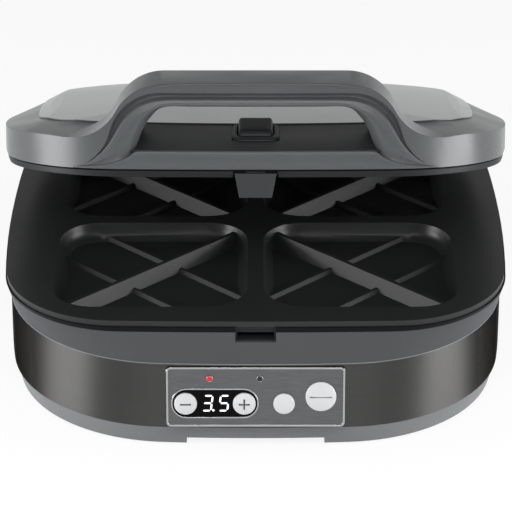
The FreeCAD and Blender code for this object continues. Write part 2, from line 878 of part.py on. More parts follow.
# one well as a solid: drafted walls, diagonal sealing ridge and low cross ribs
well_x0 = -s.well_divider / 2 - s.well_width
well_x1 = -s.well_divider / 2
well_y1 = s.well_centre - s.well_divider / 2
well_y0 = well_y1 - s.well_length
well = new_body("well")
well_steps = [
    (plate_z + s.cut_over, ZERO),
    (well_z + s.well_round_height, s.well_draft),
    (well_z, s.well_draft + s.well_round),
]
loft(well, "AdditiveLoft", [
    round_rect(new_sketch(well, "XY_Plane", z), (well_x0 + inset, well_x1 - inset),
               (well_y0 + inset, well_y1 - inset), s.well_corner - inset)
    for z, inset in well_steps])


def bar(body, start, end, levels):
    """A tapered bar from start to end, given as heights with half widths along X."""
    loft(body, "SubtractiveLoft", [
        draw_path(new_sketch(body, "XY_Plane", z), [
            (start[0] - half, start[1]), (start[0] + half, start[1]),
            (end[0] + half, end[1]), (end[0] - half, end[1])])
        for z, half in levels])


bar(well, (well_x0, well_y0), (well_x1, well_y1),
    [(well_z, s.ridge_foot), (plate_z - s.ridge_drop, s.ridge_crest)])
for shift in (-s.rib_offset, s.rib_offset):
    bar(well, (well_x0 + shift, well_y1), (well_x1 + shift, well_y0),
        [(well_z, s.rib_foot), (well_z + s.rib_height, s.rib_crest)])
wells_front = group("wells_front", [well, mirror("well_right", well, (1, 0, 0), 0)])
wells = group("wells", [wells_front, mirror("wells_back", wells_front, (0, 1, 0), s.well_centre)])

# lower grill plate
lower_body = new_body("lower_body")
pad(lower_body, draw_block(new_sketch(lower_body, "XY_Plane", plate_under), 0), frame_z - plate_under)
pad(lower_body, draw_outline(new_sketch(lower_body, "XY_Plane", frame_z), "rim"), s.plate_margin)
plate_cuts = [
    wells,
    box("plate_rear", (-reach, reach), (plate_back, reach), (ZERO, plate_z * 2)),
]
for x, y in plate_screw_spots:
    plate_cuts.append(rod("plate_pilot", "z", s.screw_radius, (x, y, frame_z), s.plate_screw_bite))
finish("lower_plate", cut("lower_plate", lower_body, plate_cuts))

# heating element under the wells, with both leads to the rear
heater_z = plate_under - s.heater_gap - s.heater_radius
heat_back = s.well_centre + s.heater_half_length
heat_front = s.well_centre - s.heater_half_length
heat_x = s.heater_half_width
bend = s.heater_bend
lead = s.heater_lead
tail_y = heat_back + s.heater_tail
lower_heater = new_body("lower_heater")
heater_path = draw_path(new_sketch(lower_heater, "XY_Plane", heater_z), [
    (-lead, tail_y),
    (-lead, heat_back + lead, -lead),
    (-lead * 2, heat_back),
    (bend - heat_x, heat_back, bend),
    (-heat_x, heat_back - bend),
    (-heat_x, heat_front + bend, bend),
    (bend - heat_x, heat_front),
    (heat_x - bend, heat_front, bend),
    (heat_x, heat_front + bend),
    (heat_x, heat_back - bend, bend),
    (heat_x - bend, heat_back),
    (lead * 2, heat_back, -lead),
    (lead, heat_back + lead),
    (lead, tail_y),
], closed=False)
heater_ring = new_sketch(lower_heater, "XZ_Plane", -tail_y)
heater_ring.addGeometry(Part.Circle(FreeCAD.Vector(-lead.value, heater_z.value, 0), FreeCAD.Vector(0, 0, 1),
                                    s.heater_radius.value), False)
hold(heater_ring, "Radius", (0,), s.heater_radius)
hold_point(heater_ring, 0, 3, -lead, heater_z)
doc.recompute()
heater_pipe = lower_heater.newObject("PartDesign::AdditivePipe", "heater_pipe")
heater_pipe.Profile = heater_ring
heater_pipe.Spine = (heater_path, ["Edge%d" % (index + 1) for index in range(13)])
doc.recompute()
finish("lower_heater", lower_heater)

# pressed reflector tray below the element
reflector_half_length = block_y - s.reflector_margin
reflector_centre = s.well_centre + s.reflector_shift
lower_reflector = new_body("lower_reflector")
for inset, base_z in ((ZERO, plate_under - s.reflector_depth), (s.reflector_sheet, plate_under)):
    half_x = s.reflector_half_width - inset
    half_y = reflector_half_length - inset
    sketch = round_rect(new_sketch(lower_reflector, "XY_Plane", base_z), (-half_x, half_x),
                        (reflector_centre - half_y, reflector_centre + half_y),
                        s.reflector_corner - inset)
    if inset is ZERO:
        pad(lower_reflector, sketch, s.reflector_depth)
    else:
        pocket(lower_reflector, sketch, s.reflector_depth - s.reflector_sheet)
finish("lower_reflector", lower_reflector)

finish("temperature_sensor", rod("temperature_sensor", "z", s.sensor_radius,
                                 (0, s.well_centre, plate_under - s.sensor_height), s.sensor_height))
finish("thermal_fuse", rod("thermal_fuse", "y", s.fuse_radius,
                           (s.fuse_x, s.well_centre - s.fuse_length / 2, plate_under - s.fuse_radius),
                           s.fuse_length))

# control panel, drawn with X across, Y up and Z out of the panel's face
bezel_body = new_body("bezel_body")
bezel_sketch = new_sketch(bezel_body, "XY_Plane", -s.bezel_depth)
for inset in (ZERO, s.bezel_wall):
    half_x = s.panel_width / 2 - inset
    half_v = s.panel_height / 2 - inset
    round_rect(bezel_sketch, (-half_x, half_x), (-half_v, half_v), s.panel_corner - inset)
pad(bezel_body, bezel_sketch, s.bezel_depth + s.bezel_proud)
finish("panel_bezel", lean(bezel_body))

minus_spot = (s.display_x - s.key_reach, s.display_v)
plus_spot = (s.display_x + s.key_reach, s.display_v)
extra_spot = (s.extra_x, s.display_v)
start_spot = (s.start_x, s.start_v)
lamp_spots = {
    "power_lamp": (s.lamp_centre - s.lamp_x, s.lamp_v),
    "ready_lamp": (s.lamp_centre + s.lamp_x, s.lamp_v),
}


def pill(name, grow, w_span):
    grow = as_size(grow)
    half_x = s.display_width / 2 + grow
    half_v = s.display_height / 2 + grow
    body = new_body(name)
    sketch = round_rect(new_sketch(body, "XY_Plane", w_span[0]), (s.display_x - half_x, s.display_x + half_x),
                        (s.display_v - half_v, s.display_v + half_v), s.display_corner + grow)
    pad(body, sketch, as_size(w_span[1]) - w_span[0])
    return body


def key_hole(spot, radius):
    return rod("key_hole", "z", radius + s.key_gap, (*spot, -s.bezel_depth), s.bezel_depth * 2)


board_spots = four(s.board_width / 2 - s.board_post_inset, s.board_height / 2 - s.board_post_inset)
panel_parts = [panel_block("panel_sheet", -s.bezel_wall, (-s.panel_sheet, ZERO))]
for x, v in board_spots:
    panel_parts.append(rod("board_post", "z", s.board_post, (x, v, -s.board_depth),
                           s.board_depth - s.panel_sheet))
panel_cuts = [
    pill("display_seat", 0, (-s.bezel_depth, s.bezel_depth)),
    key_hole(extra_spot, s.extra_radius),
    key_hole(start_spot, s.start_radius),
]
for spot in lamp_spots.values():
    panel_cuts.append(rod("lamp_hole", "z", s.lamp_radius, (*spot, -s.bezel_depth), s.bezel_depth * 2))
finish("control_panel", lean(cut("control_panel", fuse("panel_solid", panel_parts), panel_cuts)))

finish("display_window", lean(cut(
    "display_window", pill("display_glass", 0, (-s.panel_sheet, s.display_proud)),
    [key_hole(minus_spot, s.key_radius), key_hole(plus_spot, s.key_radius)])))
finish("display_trim", lean(cut("display_trim", pill("trim_outer", s.trim_wall, (ZERO, s.trim_proud)),
                                [pill("trim_inner", 0, (-s.trim_proud, s.trim_proud * 2))])))
digits_half_x = s.digits_width / 2
digits_half_v = s.digits_height / 2
finish("digit_module", lean(group("digit_module", [box(
    "digits", (s.display_x - digits_half_x, s.display_x + digits_half_x),
    (s.display_v - digits_half_v, s.display_v + digits_half_v), (-s.board_depth, -s.panel_sheet))])))
for node, spot in lamp_spots.items():
    finish(node, lean(group(node, [rod("lamp", "z", s.lamp_radius, (*spot, -s.board_depth),
                                       s.board_depth + s.lamp_proud)])))

keys = {
    "minus_button": (minus_spot, s.key_radius),
    "plus_button": (plus_spot, s.key_radius),
    "extra_button": (extra_spot, s.extra_radius),
    "start_button": (start_spot, s.start_radius),
}
flange_w = -s.panel_sheet - s.key_gap
for node, (spot, radius) in keys.items():
    finish(node, lean(fuse(node, [
        rod("key_cap", "z", radius, (*spot, flange_w), s.key_proud - flange_w),
        rod("key_flange", "z", radius + s.key_flange, (*spot, flange_w - s.key_flange_height),
            s.key_flange_height),
        rod("key_stem", "z", s.key_stem_radius, (*spot, -s.key_depth), s.key_depth),
    ])))
board_w = -s.board_depth - s.board_thickness
finish("control_board", lean(group("control_board", [box(
    "board", (-s.board_width / 2, s.board_width / 2), (-s.board_height / 2, s.board_height / 2),
    (board_w, -s.board_depth))])))
half_switch = s.switch_side / 2
finish("tact_switches", lean(group("tact_switches", [
    box("tact_switch", (x - half_switch, x + half_switch), (v - half_switch, v + half_switch),
        (-s.board_depth, s.switch_height - s.board_depth)) for (x, v), radius in keys.values()])))

# power board with relay and transformer on the tray's standoffs
power_z = floor_z + s.standoff_height
power_top = power_z + s.board_thickness
finish("power_board", box(
    "power_board", (s.power_x - s.power_width / 2, s.power_x + s.power_width / 2),
    (s.power_y - s.power_length / 2, s.power_y + s.power_length / 2), (power_z, power_top)))
finish("relay", box("relay", (s.power_x - s.relay_width * 2, s.power_x - s.relay_width),
                    (s.power_y - s.relay_length / 2, s.power_y + s.relay_length / 2),
                    (power_top, power_top + s.relay_height)))
finish("transformer", box("transformer", (s.power_x, s.power_x + s.coil_width),
                          (s.power_y - s.coil_length / 2, s.power_y + s.coil_length / 2),
                          (power_top, power_top + s.coil_height)))

# strike for the latch, set in the notch at the front of the frame
strike_y = notch_front - s.strike_front
strike_back = notch_front + s.strike_depth
strike_x = s.strike_half_width
strike_z = frame_z - s.strike_height
strike_shell = cut("strike_shell", box("strike_block", (-strike_x, strike_x), (strike_y, strike_back),
                                       (strike_z, frame_z)),
                   [box("strike_room", (s.strike_wall - strike_x, strike_x - s.strike_wall),
                        (-reach, strike_back - s.strike_wall), (strike_z + s.strike_wall, plate_z))])
lip_y = notch_front + s.strike_lip_front - s.strike_front
finish("latch_strike", fuse("latch_strike", [
    strike_shell, box("strike_lip", (-strike_x, strike_x), (lip_y, lip_y + s.strike_lip_depth),
                      (frame_z - s.strike_lip_height, frame_z))]))

# hinge brackets on the rear deck, pins, and the arms of the lid that turn on them
ear = s.hinge_ear_radius
knuckle_half = s.hinge_half_width - s.hinge_ear - s.hinge_side_gap
arm_root = hinge_y - s.arm_length
hinge_half = s.hinge_half_width
brackets = []
pins = []
arms = []
arm_slots = []
for centre in (-s.hinge_x, s.hinge_x):
    low = centre - hinge_half
    high = centre + hinge_half
    parts = [box("hinge_foot", (low, high), (hinge_y - ear, hinge_y + ear),
                 (plate_z, plate_z + s.hinge_plate))]
    for start in (low, high - s.hinge_ear):
        parts.append(box("ear_block", (start, start + s.hinge_ear), (hinge_y - ear, hinge_y + ear),
                         (plate_z, hinge_z)))
        parts.append(rod("ear_round", "x", ear, (start, hinge_y, hinge_z), s.hinge_ear))
    brackets.append(cut("bracket", fuse("bracket_solid", parts), [
        rod("bracket_bore", "x", s.pin_radius, (low, hinge_y, hinge_z), hinge_half * 2)]))
    pins.append(rod("pin", "x", s.pin_radius, (low - s.pin_overhang, hinge_y, hinge_z),
                    (hinge_half + s.pin_overhang) * 2))
    arm_half = s.arm_width / 2
    arm_z = lid_rim_z + s.lid_flange_thickness
    arms.append(cut("arm", fuse("arm_solid", [
        rod("knuckle", "x", s.knuckle_radius, (centre - knuckle_half, hinge_y, hinge_z), knuckle_half * 2),
        box("arm_bar", (centre - arm_half, centre + arm_half), (arm_root, hinge_y),
            (arm_z, arm_z + s.arm_thickness)),
    ]), [rod("arm_bore", "x", s.pin_radius + s.pin_clearance, (low, hinge_y, hinge_z), hinge_half * 2)]))
    arm_slots.append(box("arm_slot", (centre - arm_half - s.fit_gap, centre + arm_half + s.fit_gap),
                         (arm_root - s.fit_gap, hinge_y), (ZERO, arm_z + s.arm_thickness + s.fit_gap)))
finish("hinge_brackets", group("hinge_brackets", brackets))
finish("hinge_pins", group("hinge_pins", pins))
finish_lid("lid_hinge_arms", group("lid_hinge_arms", arms))

# lid frame: rim round the plate, flange above it, tabs for the cover screws, notch for the latch
lid_spots = [(x, y) for x in (-s.lid_post_x, s.lid_post_x) for y in (s.lid_post_front, s.lid_post_back)]
flange_top = lid_rim_z + s.lid_flange_thickness
latch_notch = box("latch_notch", (-s.notch_half_width, s.notch_half_width),
                  (-reach, lid_front + s.notch_depth), (ZERO, flange_top))
rim_ring = outline_ring("rim_ring", "lid", (s.lid_rim_inset, s.lid_plate_inset - s.fit_gap),
                        (lid_z, lid_rim_z), lid_centre)
flange_ring = outline_ring("flange_ring", "lid", (s.lid_wall + s.fit_gap, s.lid_flange_inset),
                           (lid_rim_z, flange_top), lid_centre)
tabs = [rod("tab", "z", s.lid_tab_radius, (x, y, lid_rim_z), s.lid_flange_thickness) for x, y in lid_spots]
tab_holes = [rod("tab_hole", "z", s.screw_radius + s.screw_slack, (x, y, 0), flange_top * 2)
             for x, y in lid_spots]
upper_top = lid_z + s.well_depth + s.plate_wall
block_room = new_body("block_room")
pad(block_room, draw_block(new_sketch(block_room, "XY_Plane", lid_rim_z), s.fit_gap), upper_top - lid_rim_z)
finish_lid("lid_frame", cut("lid_frame", fuse("lid_frame_solid", [rim_ring, flange_ring] + tabs),
                            tab_holes + [latch_notch, block_room]))

# upper grill plate, a mirror of the lower wells in the lid's own outline
upper_body = new_body("upper_body")
upper_sketch = new_sketch(upper_body, "XY_Plane", lid_z)
pad(upper_body, draw_outline(upper_sketch, "lid", s.lid_plate_inset, lid_centre), s.plate_margin)
pad(upper_body, draw_block(new_sketch(upper_body, "XY_Plane", lid_rim_z), 0), upper_top - lid_rim_z)
head_holes = [rod("head_hole", "z", s.screw_head_radius + s.screw_slack, (x, y, 0), lid_rim_z)
              for x, y in lid_spots]
upper_cuts = [mirror("upper_wells", wells, (0, 0, 1), mid_z), latch_notch] + head_holes
finish_lid("upper_plate", cut("upper_plate", upper_body, upper_cuts))
finish_lid("upper_heater", group("upper_heater", [mirror("heater_copy", lower_heater, (0, 0, 1), mid_z)]))
finish_lid("upper_reflector", group("upper_reflector", [
    mirror("reflector_copy", lower_reflector, (0, 0, 1), mid_z)]))
finish_lid("lid_screws", group("lid_screws", [
    fuse("lid_screw", [
        rod("head", "z", s.screw_head_radius, (x, y, lid_rim_z - s.screw_head_height), s.screw_head_height),
        rod("shank", "z", s.screw_radius, (x, y, lid_rim_z), s.lid_flange_thickness + s.lid_screw_bite),
    ]) for x, y in lid_spots]))


# crown of the lid: a shoulder that falls towards the hinge, a dome, and a rise behind the front
crown_y = lid_front + s.crown_run


def crown_foot(body, level):
    """The foot of the shoulder, drawn outside the lid and leaning down to the rear."""
    sketch = new_sketch(body, "XY_Plane", level + s.shoulder_foot)
    sketch.AttachmentOffset.Rotation = FreeCAD.Rotation(FreeCAD.Vector(1, 0, 0), -s.shoulder_fall.value)
    bind(sketch, "AttachmentOffset.Rotation.Angle", -s.shoulder_fall)
    return draw_outline(sketch, "lid", -s.shoulder_spread, lid_centre)


def crowned(name, blank, drop):
    """What is left of a blank under the lid's crown, let down by drop."""
    level = lid_z - drop
    shoulder = new_body(name + "_shoulder")
    pad(shoulder, crown_foot(shoulder, level), s.lid_blank * 2, back=True)
    shoulder_steps = ((s.shoulder_top, s.shoulder_inset), (s.crown_top, s.crown_inset))
    loft(shoulder, "AdditiveLoft", [crown_foot(shoulder, level)] + [
        draw_outline(new_sketch(shoulder, "XY_Plane", level + rise), "lid", inset, lid_centre)
        for rise, inset in shoulder_steps])
    dome = doc.addObject("Part::Sphere", name + "_dome")
    bind(dome, "Radius", s.dome_radius)
    put(dome, 0, s.dome_y, level + s.dome_top - s.dome_radius)
    sky = lid_z + s.lid_blank * 2
    front = lid_front - s.cut_over
    over_front = side_prism(name + "_over_front", [
        (front, level + s.shoulder_front),
        (tray_back_y, level + s.tray_back_rise),
        (crown_y, level + s.crown_top),
        (crown_y, sky),
        (front, sky),
    ], (-reach, reach))
    return cut(name, common(name + "_blank", [blank, shoulder, dome]), [over_front])


def swell(start, end, foot, top, root):
    """The arch of the handle from the front: two S curves that meet a level top."""
    root = as_size(root)
    knee_x = (start + end) / 2
    knee_z = (foot + top) / 2
    run = start - end
    rise = top - foot
    radius = (run * run + rise * rise) / (rise * 4)
    return [
        (-start, foot, radius), (-knee_x, knee_z, -radius), (-end, top), (end, top, -radius),
        (knee_x, knee_z, radius), (start, foot), (start, root), (-start, root),
    ]


cover_outer = crowned("cover_outer", outline_prism(
    "cover_blank", "lid", 0, (cover_z, cover_z + s.lid_blank), lid_centre), 0)
cover_room = crowned("cover_room", outline_prism(
    "room_blank", "lid", s.lid_wall, (lid_z, cover_z + s.lid_blank), lid_centre), s.lid_skin)
hump_body = new_body("hump_body")
root_z = lid_z + s.arch_root
hump_steps = [
    (lid_front - s.cut_over, ZERO, ZERO, ZERO),
    (lid_front + s.handle_crown_run, s.crown_swell, s.crown_foot_lift, s.crown_lift),
    (lid_front + s.handle_back_run, s.crown_swell, s.crown_foot_lift, s.crown_lift - s.handle_back_drop),
]
loft(hump_body, "AdditiveLoft", [
    draw_path(new_sketch(hump_body, "XZ_Plane", -y), swell(
        s.arch_start + grow, s.arch_end + grow, lid_z + s.arch_foot + foot, lid_z + s.arch_crease + top,
        root_z))
    for y, grow, foot, top in hump_steps])
handle = common("handle", [
    hump_body, outline_prism("handle_limit", "lid", 0, (cover_z, cover_z + s.lid_blank * 2), lid_centre)])
grip_shape = swell(s.grip_start, s.grip_end, lid_z + s.grip_foot, lid_z + s.grip_top, lid_z + s.grip_root)
grip_void = front_prism("grip_void", grip_shape, (lid_front - s.cut_over, tray_back_y))
posts = [
    common("cover_post", [
        rod("post_rod", "z", s.lid_post_radius, (x, y, flange_top), s.lid_blank), cover_outer])
    for x, y in lid_spots]
post_pilots = [rod("post_pilot", "z", s.screw_radius, (x, y, 0), flange_top + s.lid_screw_bite)
               for x, y in lid_spots]
cover_shell = cut("cover_shell", fuse("cover_solid", [cover_outer, handle]),
                  [cover_room, grip_void] + arm_slots)
finish_lid("lid_cover", cut("lid_cover", fuse("cover_posted", [cover_shell] + posts), post_pilots))

inlay_centre = tray_back_y + s.inlay_half_depth
inlay_blank = outline_prism("inlay_blank", "inlay", 0, (root_z, cover_z + s.lid_blank), inlay_centre)
inlay_raw = crowned("inlay_raw", inlay_blank, -s.inlay_thickness)
bed_blank = outline_prism("bed_blank", "inlay", -s.cut_over, (cover_z, cover_z + s.lid_blank), inlay_centre)
finish_lid("lid_inlay", cut("lid_inlay", inlay_raw, [crowned("inlay_bed", bed_blank, -s.inlay_bond)]))

# grip frame: front band of the lid, the flanks of the arch and the underside of the handle
tray_front_y = lid_front + s.grip_front
sill_z = lid_z + s.mouth_sill
latch_z = lid_z + s.latch_axis_rise
latch_y = lid_front + s.latch_axis_run
mouth = front_prism("mouth", [
    (-s.mouth_foot, sill_z), (-s.mouth_knee_x, lid_z + s.mouth_knee, -s.mouth_round),
    (-s.mouth_head, lid_z + s.mouth_top), (s.mouth_head, lid_z + s.mouth_top, -s.mouth_round),
    (s.mouth_knee_x, lid_z + s.mouth_knee), (s.mouth_foot, sill_z),
], (lid_front - s.cut_over, tray_back_y))
grip_blank = common("grip_blank", [
    front_prism("grip_block", grip_shape, (lid_front - s.cut_over, lid_front + s.grip_back_run)),
    outline_prism("grip_limit", "lid", s.grip_setback, (cover_z, cover_z + s.lid_blank * 2), lid_centre)])
under_tray = common("under_tray", [
    outline_prism("under_tray_room", "lid", s.grip_front, (lid_z, sill_z), lid_centre),
    box("under_tray_reach", (-reach, reach), (-reach, tray_back_y), (ZERO, sill_z))])
lug_start = s.latch_boss_half_width + s.latch_lug_gap
lug_end = lug_start + s.latch_lug
lugs = [box("lug", span, (tray_front_y, latch_y + s.latch_lug_back),
            (latch_z - s.latch_lug_drop, latch_z + s.latch_lug_head))
        for span in ((lug_start, lug_end), (-lug_end, -lug_start))]
latch_bore = rod("latch_bore", "x", s.latch_pin_radius, (-lug_end, latch_y, latch_z), lug_end * 2)
grip_open = cut("grip_open", grip_blank, [mouth, under_tray])
grip_frame = cut("grip_frame", fuse("grip_solid", [grip_open] + lugs), [latch_bore])
finish_lid("latch_pin", group("latch_pin", [
    rod("latch_rod", "x", s.latch_pin_radius, (-lug_end, latch_y, latch_z), lug_end * 2)]))

# finger tray behind the front band, rising to the inlay, with a seat for the latch bezel
tray_slope = (s.tray_back_rise - s.mouth_sill) / (tray_back_y - tray_front_y)


def tray_z(y):
    return sill_z + (y - tray_front_y) * tray_slope


def tray_slab(name, y_span, above, below, half_width):
    y0, y1 = y_span
    return side_prism(name, [
        (y0, tray_z(y0) - below), (y1, tray_z(y1) - below),
        (y1, tray_z(y1) + above), (y0, tray_z(y0) + above),
    ], (-half_width, half_width))


bezel_span = (lid_front + s.latch_bezel_run, tray_back_y)
cap_front = lid_front + s.cap_front_run
cap_back = lid_front + s.cap_back_run
cap_room = box("cap_room", (-s.cap_half_width - s.cap_gap, s.cap_half_width + s.cap_gap),
               (cap_front - s.cap_gap, cap_back + s.cap_back_gap), (ZERO, lid_z * 2))
bezel_seat = box("bezel_seat", (-s.latch_bezel_half_width, s.latch_bezel_half_width), bezel_span,
                 (ZERO, lid_z * 2))
tray_blank = common("tray_blank", [
    tray_slab("tray_sheet", (tray_front_y, tray_back_y), ZERO, s.tray_thickness, s.grip_start),
    front_prism("tray_limit", grip_shape, (tray_front_y, tray_back_y)),
    outline_prism("tray_room", "lid", s.grip_front, (lid_z, lid_z + s.lid_blank), lid_centre)])
finish_lid("finger_tray", cut("finger_tray", tray_blank, [grip_open, bezel_seat]))
finish_lid("grip_frame", grip_frame)
finish_lid("latch_bezel", cut("latch_bezel", tray_slab(
    "bezel_slab", bezel_span, s.latch_bezel_proud, s.latch_bezel_below, s.latch_bezel_half_width),
    [cap_room]))


# latch rocker: button cap on the arm, hook in front, both turning on the latch pin
arm_front = lid_front + s.arm_front_run
tongue_face = lid_front - s.tongue_stand


def arm_height(y):
    return lid_z + s.arm_front_rise + (y - arm_front) * s.arm_slope


finish_lid("latch_button", side_prism("latch_button", [
    (cap_front, arm_height(cap_front) + s.arm_sheet), (cap_back, arm_height(cap_back) + s.arm_sheet),
    (cap_back, lid_z + s.cap_back_top), (cap_front, lid_z + s.cap_front_top),
], (-s.cap_half_width, s.cap_half_width)))
tongue_back = tongue_face + s.tongue_thickness
tip_z = lid_z - s.tongue_drop
tongue_top = lid_z + s.tongue_top_rise
shelf_z = tongue_top - s.tongue_shelf
neck_front = tongue_face + s.neck_front
neck_back = tongue_face + s.neck_back
tongue = side_prism("tongue", [
    (tongue_face, tip_z), (tongue_back, tip_z),
    (tongue_back + s.barb_depth, tip_z + s.barb_chamfer), (tongue_back + s.barb_depth, tip_z + s.barb_height),
    (tongue_back, tip_z + s.barb_height), (tongue_back, shelf_z), (neck_back, shelf_z),
    (neck_back, tongue_top), (tongue_face, tongue_top),
], (-s.tongue_half_width, s.tongue_half_width))
tongue_limit = front_prism("tongue_limit", [
    (-s.tongue_tip_half_width, tip_z), (s.tongue_tip_half_width, tip_z),
    (s.tongue_half_width, tongue_top), (-s.tongue_half_width, tongue_top),
], (-reach, ZERO))
arm_body = side_prism("arm_body", [
    (neck_front, shelf_z), (neck_back, shelf_z),
    (latch_y, latch_z - s.latch_boss_radius),
    (latch_y + s.latch_boss_radius, latch_z),
    (arm_front, arm_height(arm_front)), (cap_back, arm_height(cap_back)),
    (cap_back, arm_height(cap_back) + s.arm_sheet), (arm_front, arm_height(arm_front) + s.arm_sheet),
    (latch_y - s.latch_boss_radius, latch_z + s.arm_sheet),
    (neck_front, tongue_top),
], (-s.arm_half_width, s.arm_half_width))
boss_half = s.latch_boss_half_width
finish_lid("latch_hook", cut("latch_hook", fuse("hook_solid", [
    common("tongue_plate", [tongue, tongue_limit]), arm_body,
    rod("boss_rod", "x", s.latch_boss_radius, (-boss_half, latch_y, latch_z), boss_half * 2),
]), [rod("hook_bore", "x", s.latch_pin_radius + s.pin_clearance, (-boss_half, latch_y, latch_z),
         boss_half * 2)]))

# return spring of the latch, wound round the boss beside the arm
spring_radius = s.latch_boss_radius + s.spring_gap + s.spring_wire
spring_helix = doc.addObject("Part::Helix", "spring_helix")
bind(spring_helix, "Radius", spring_radius)
bind(spring_helix, "Pitch", s.spring_pitch)
bind(spring_helix, "Height", s.spring_length)
spring_circle = doc.addObject("Part::Circle", "spring_circle")
bind(spring_circle, "Radius", s.spring_wire)
spring_circle.Placement.Rotation = FreeCAD.Rotation(FreeCAD.Vector(1, 0, 0), 90)
put(spring_circle, spring_radius, 0, 0)
spring = doc.addObject("Part::Sweep", "spring")
spring.Sections = [spring_circle]
doc.recompute()
spring.Spine = (spring_helix, ["Edge%d" % (index + 1) for index in range(len(spring_helix.Shape.Edges))])
spring.Solid = True
spring.Frenet = True
spring.Placement.Rotation = FreeCAD.Rotation(FreeCAD.Vector(0, 1, 0), 90)
put(spring, s.arm_half_width + s.spring_wire + s.spring_gap, latch_y, latch_z)
finish_lid("latch_spring", group("latch_spring", [spring]))

doc.recompute()
bad = [obj.Label for obj in doc.Objects if "Invalid" in obj.State or "Error" in obj.State]
if bad:
    raise ValueError("not computed: " + ", ".join(bad))
for obj in nodes:
    if obj.Shape.isNull() or not obj.Shape.isValid() or not obj.Shape.Solids:
        raise ValueError("no sound solid: " + obj.Label)
os.makedirs("parts", exist_ok=True)
for obj in nodes:
    obj.Shape.exportStep("parts/%s.step" % obj.Label)
    print(obj.Label, len(obj.Shape.Solids), "solids", round(obj.Shape.Volume), "mm3")
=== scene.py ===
import math

import bmesh
import bpy
from mathutils import Matrix, Vector


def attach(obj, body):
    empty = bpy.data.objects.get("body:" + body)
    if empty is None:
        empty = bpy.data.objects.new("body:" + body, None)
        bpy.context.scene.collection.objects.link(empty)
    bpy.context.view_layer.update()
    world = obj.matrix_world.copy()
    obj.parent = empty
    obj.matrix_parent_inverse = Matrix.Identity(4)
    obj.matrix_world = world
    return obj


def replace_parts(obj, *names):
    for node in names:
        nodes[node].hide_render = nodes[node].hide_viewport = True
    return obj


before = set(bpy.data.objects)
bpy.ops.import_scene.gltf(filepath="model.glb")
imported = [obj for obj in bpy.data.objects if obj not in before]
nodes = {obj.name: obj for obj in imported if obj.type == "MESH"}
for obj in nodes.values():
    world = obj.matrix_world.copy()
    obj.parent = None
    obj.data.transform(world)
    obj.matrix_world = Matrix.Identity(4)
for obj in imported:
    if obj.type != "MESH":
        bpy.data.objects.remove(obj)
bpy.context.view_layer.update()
scene = bpy.context.scene
scene.view_settings.view_transform = "Standard"

MM = 0.001

# Camera at the photograph's angle: elevation, distance and aim
ELEVATION = math.radians(27.0)
DISTANCE = 1.75
AIM = Vector((0.0, 0.0, 0.050))
FOCAL_PX = 2480.0
FRAME_PX = 512.0
AXIS_PX = (255.6, 260.0)

# Control panel: its centre, its lean and how far each face stands out, in millimetres
PANEL_CENTRE = Vector((0.0, -178.3, 42.0))
PANEL_LEAN = math.radians(8.0)
GLASS_FACE = 0.3
KEY_FACE = 1.3
LAMP_FACE = 0.6

# Lid: hinge line, opening at rest, and its front outline as a bow joined to round corners
HINGE = Vector((0.0, 161.0, 100.5))
LID_OPEN = math.radians(16.7)
LID_Z = 93.0
LID_CENTRE = -10.0
LID_HALF_WIDTH = 168.6
LID_HALF_DEPTH = 162.0
LID_BOW = 1270.0
LID_FLANK = 520.0
LID_CORNER = 86.0


def camera():
    data = bpy.data.cameras.new("camera")
    data.sensor_width = 36.0
    data.lens = data.sensor_width * FOCAL_PX / FRAME_PX
    data.shift_x = (FRAME_PX / 2 - AXIS_PX[0]) / FRAME_PX
    data.shift_y = (AXIS_PX[1] - FRAME_PX / 2) / FRAME_PX
    data.clip_start = 0.05
    data.clip_end = 50.0
    eye = bpy.data.objects.new("camera", data)
    scene.collection.objects.link(eye)
    eye.location = AIM + DISTANCE * Vector((0.0, -math.cos(ELEVATION), math.sin(ELEVATION)))
    eye.rotation_euler = (math.pi / 2 - ELEVATION, 0.0, 0.0)
    scene.camera = eye


camera()


# Node helpers
def new_tree(name):
    mat = bpy.data.materials.new(name)
    mat.use_nodes = True
    tree = mat.node_tree
    tree.nodes.clear()
    out = tree.nodes.new("ShaderNodeOutputMaterial")
    return mat, tree, out


def noise(tree, coords, scale, detail=3.0, roughness=0.55):
    node = tree.nodes.new("ShaderNodeTexNoise")
    node.inputs["Scale"].default_value = scale
    node.inputs["Detail"].default_value = detail
    node.inputs["Roughness"].default_value = roughness
    tree.links.new(coords, node.inputs["Vector"])
    return node.outputs["Fac"]


def stretched(tree, coords, stretch):
    node = tree.nodes.new("ShaderNodeMapping")
    node.inputs["Scale"].default_value = stretch
    tree.links.new(coords, node.inputs["Vector"])
    return node.outputs["Vector"]


# The part of a noise's range that carries nearly all of its values
NOISE_LOW = 0.3
NOISE_HIGH = 0.7


def ramp(tree, fac, low, high):
    node = tree.nodes.new("ShaderNodeValToRGB")
    node.color_ramp.elements[0].position = NOISE_LOW
    node.color_ramp.elements[0].color = (*low, 1.0)
    node.color_ramp.elements[1].position = NOISE_HIGH
    node.color_ramp.elements[1].color = (*high, 1.0)
    tree.links.new(fac, node.inputs["Fac"])
    return node.outputs["Color"]


def spread_to(tree, fac, low, high):
    node = tree.nodes.new("ShaderNodeMapRange")
    node.inputs["From Min"].default_value = NOISE_LOW
    node.inputs["From Max"].default_value = NOISE_HIGH
    node.inputs["To Min"].default_value = low
    node.inputs["To Max"].default_value = high
    tree.links.new(fac, node.inputs["Value"])
    return node.outputs["Result"]


def multiplied(tree, a, b):
    node = tree.nodes.new("ShaderNodeMix")
    node.data_type = "RGBA"
    node.blend_type = "MULTIPLY"
    node.inputs["Factor"].default_value = 1.0
    tree.links.new(a, node.inputs["A"])
    tree.links.new(b, node.inputs["B"])
    return node.outputs["Result"]


def tone(colour, factor):
    return tuple(min(1.0, c * factor) for c in colour)


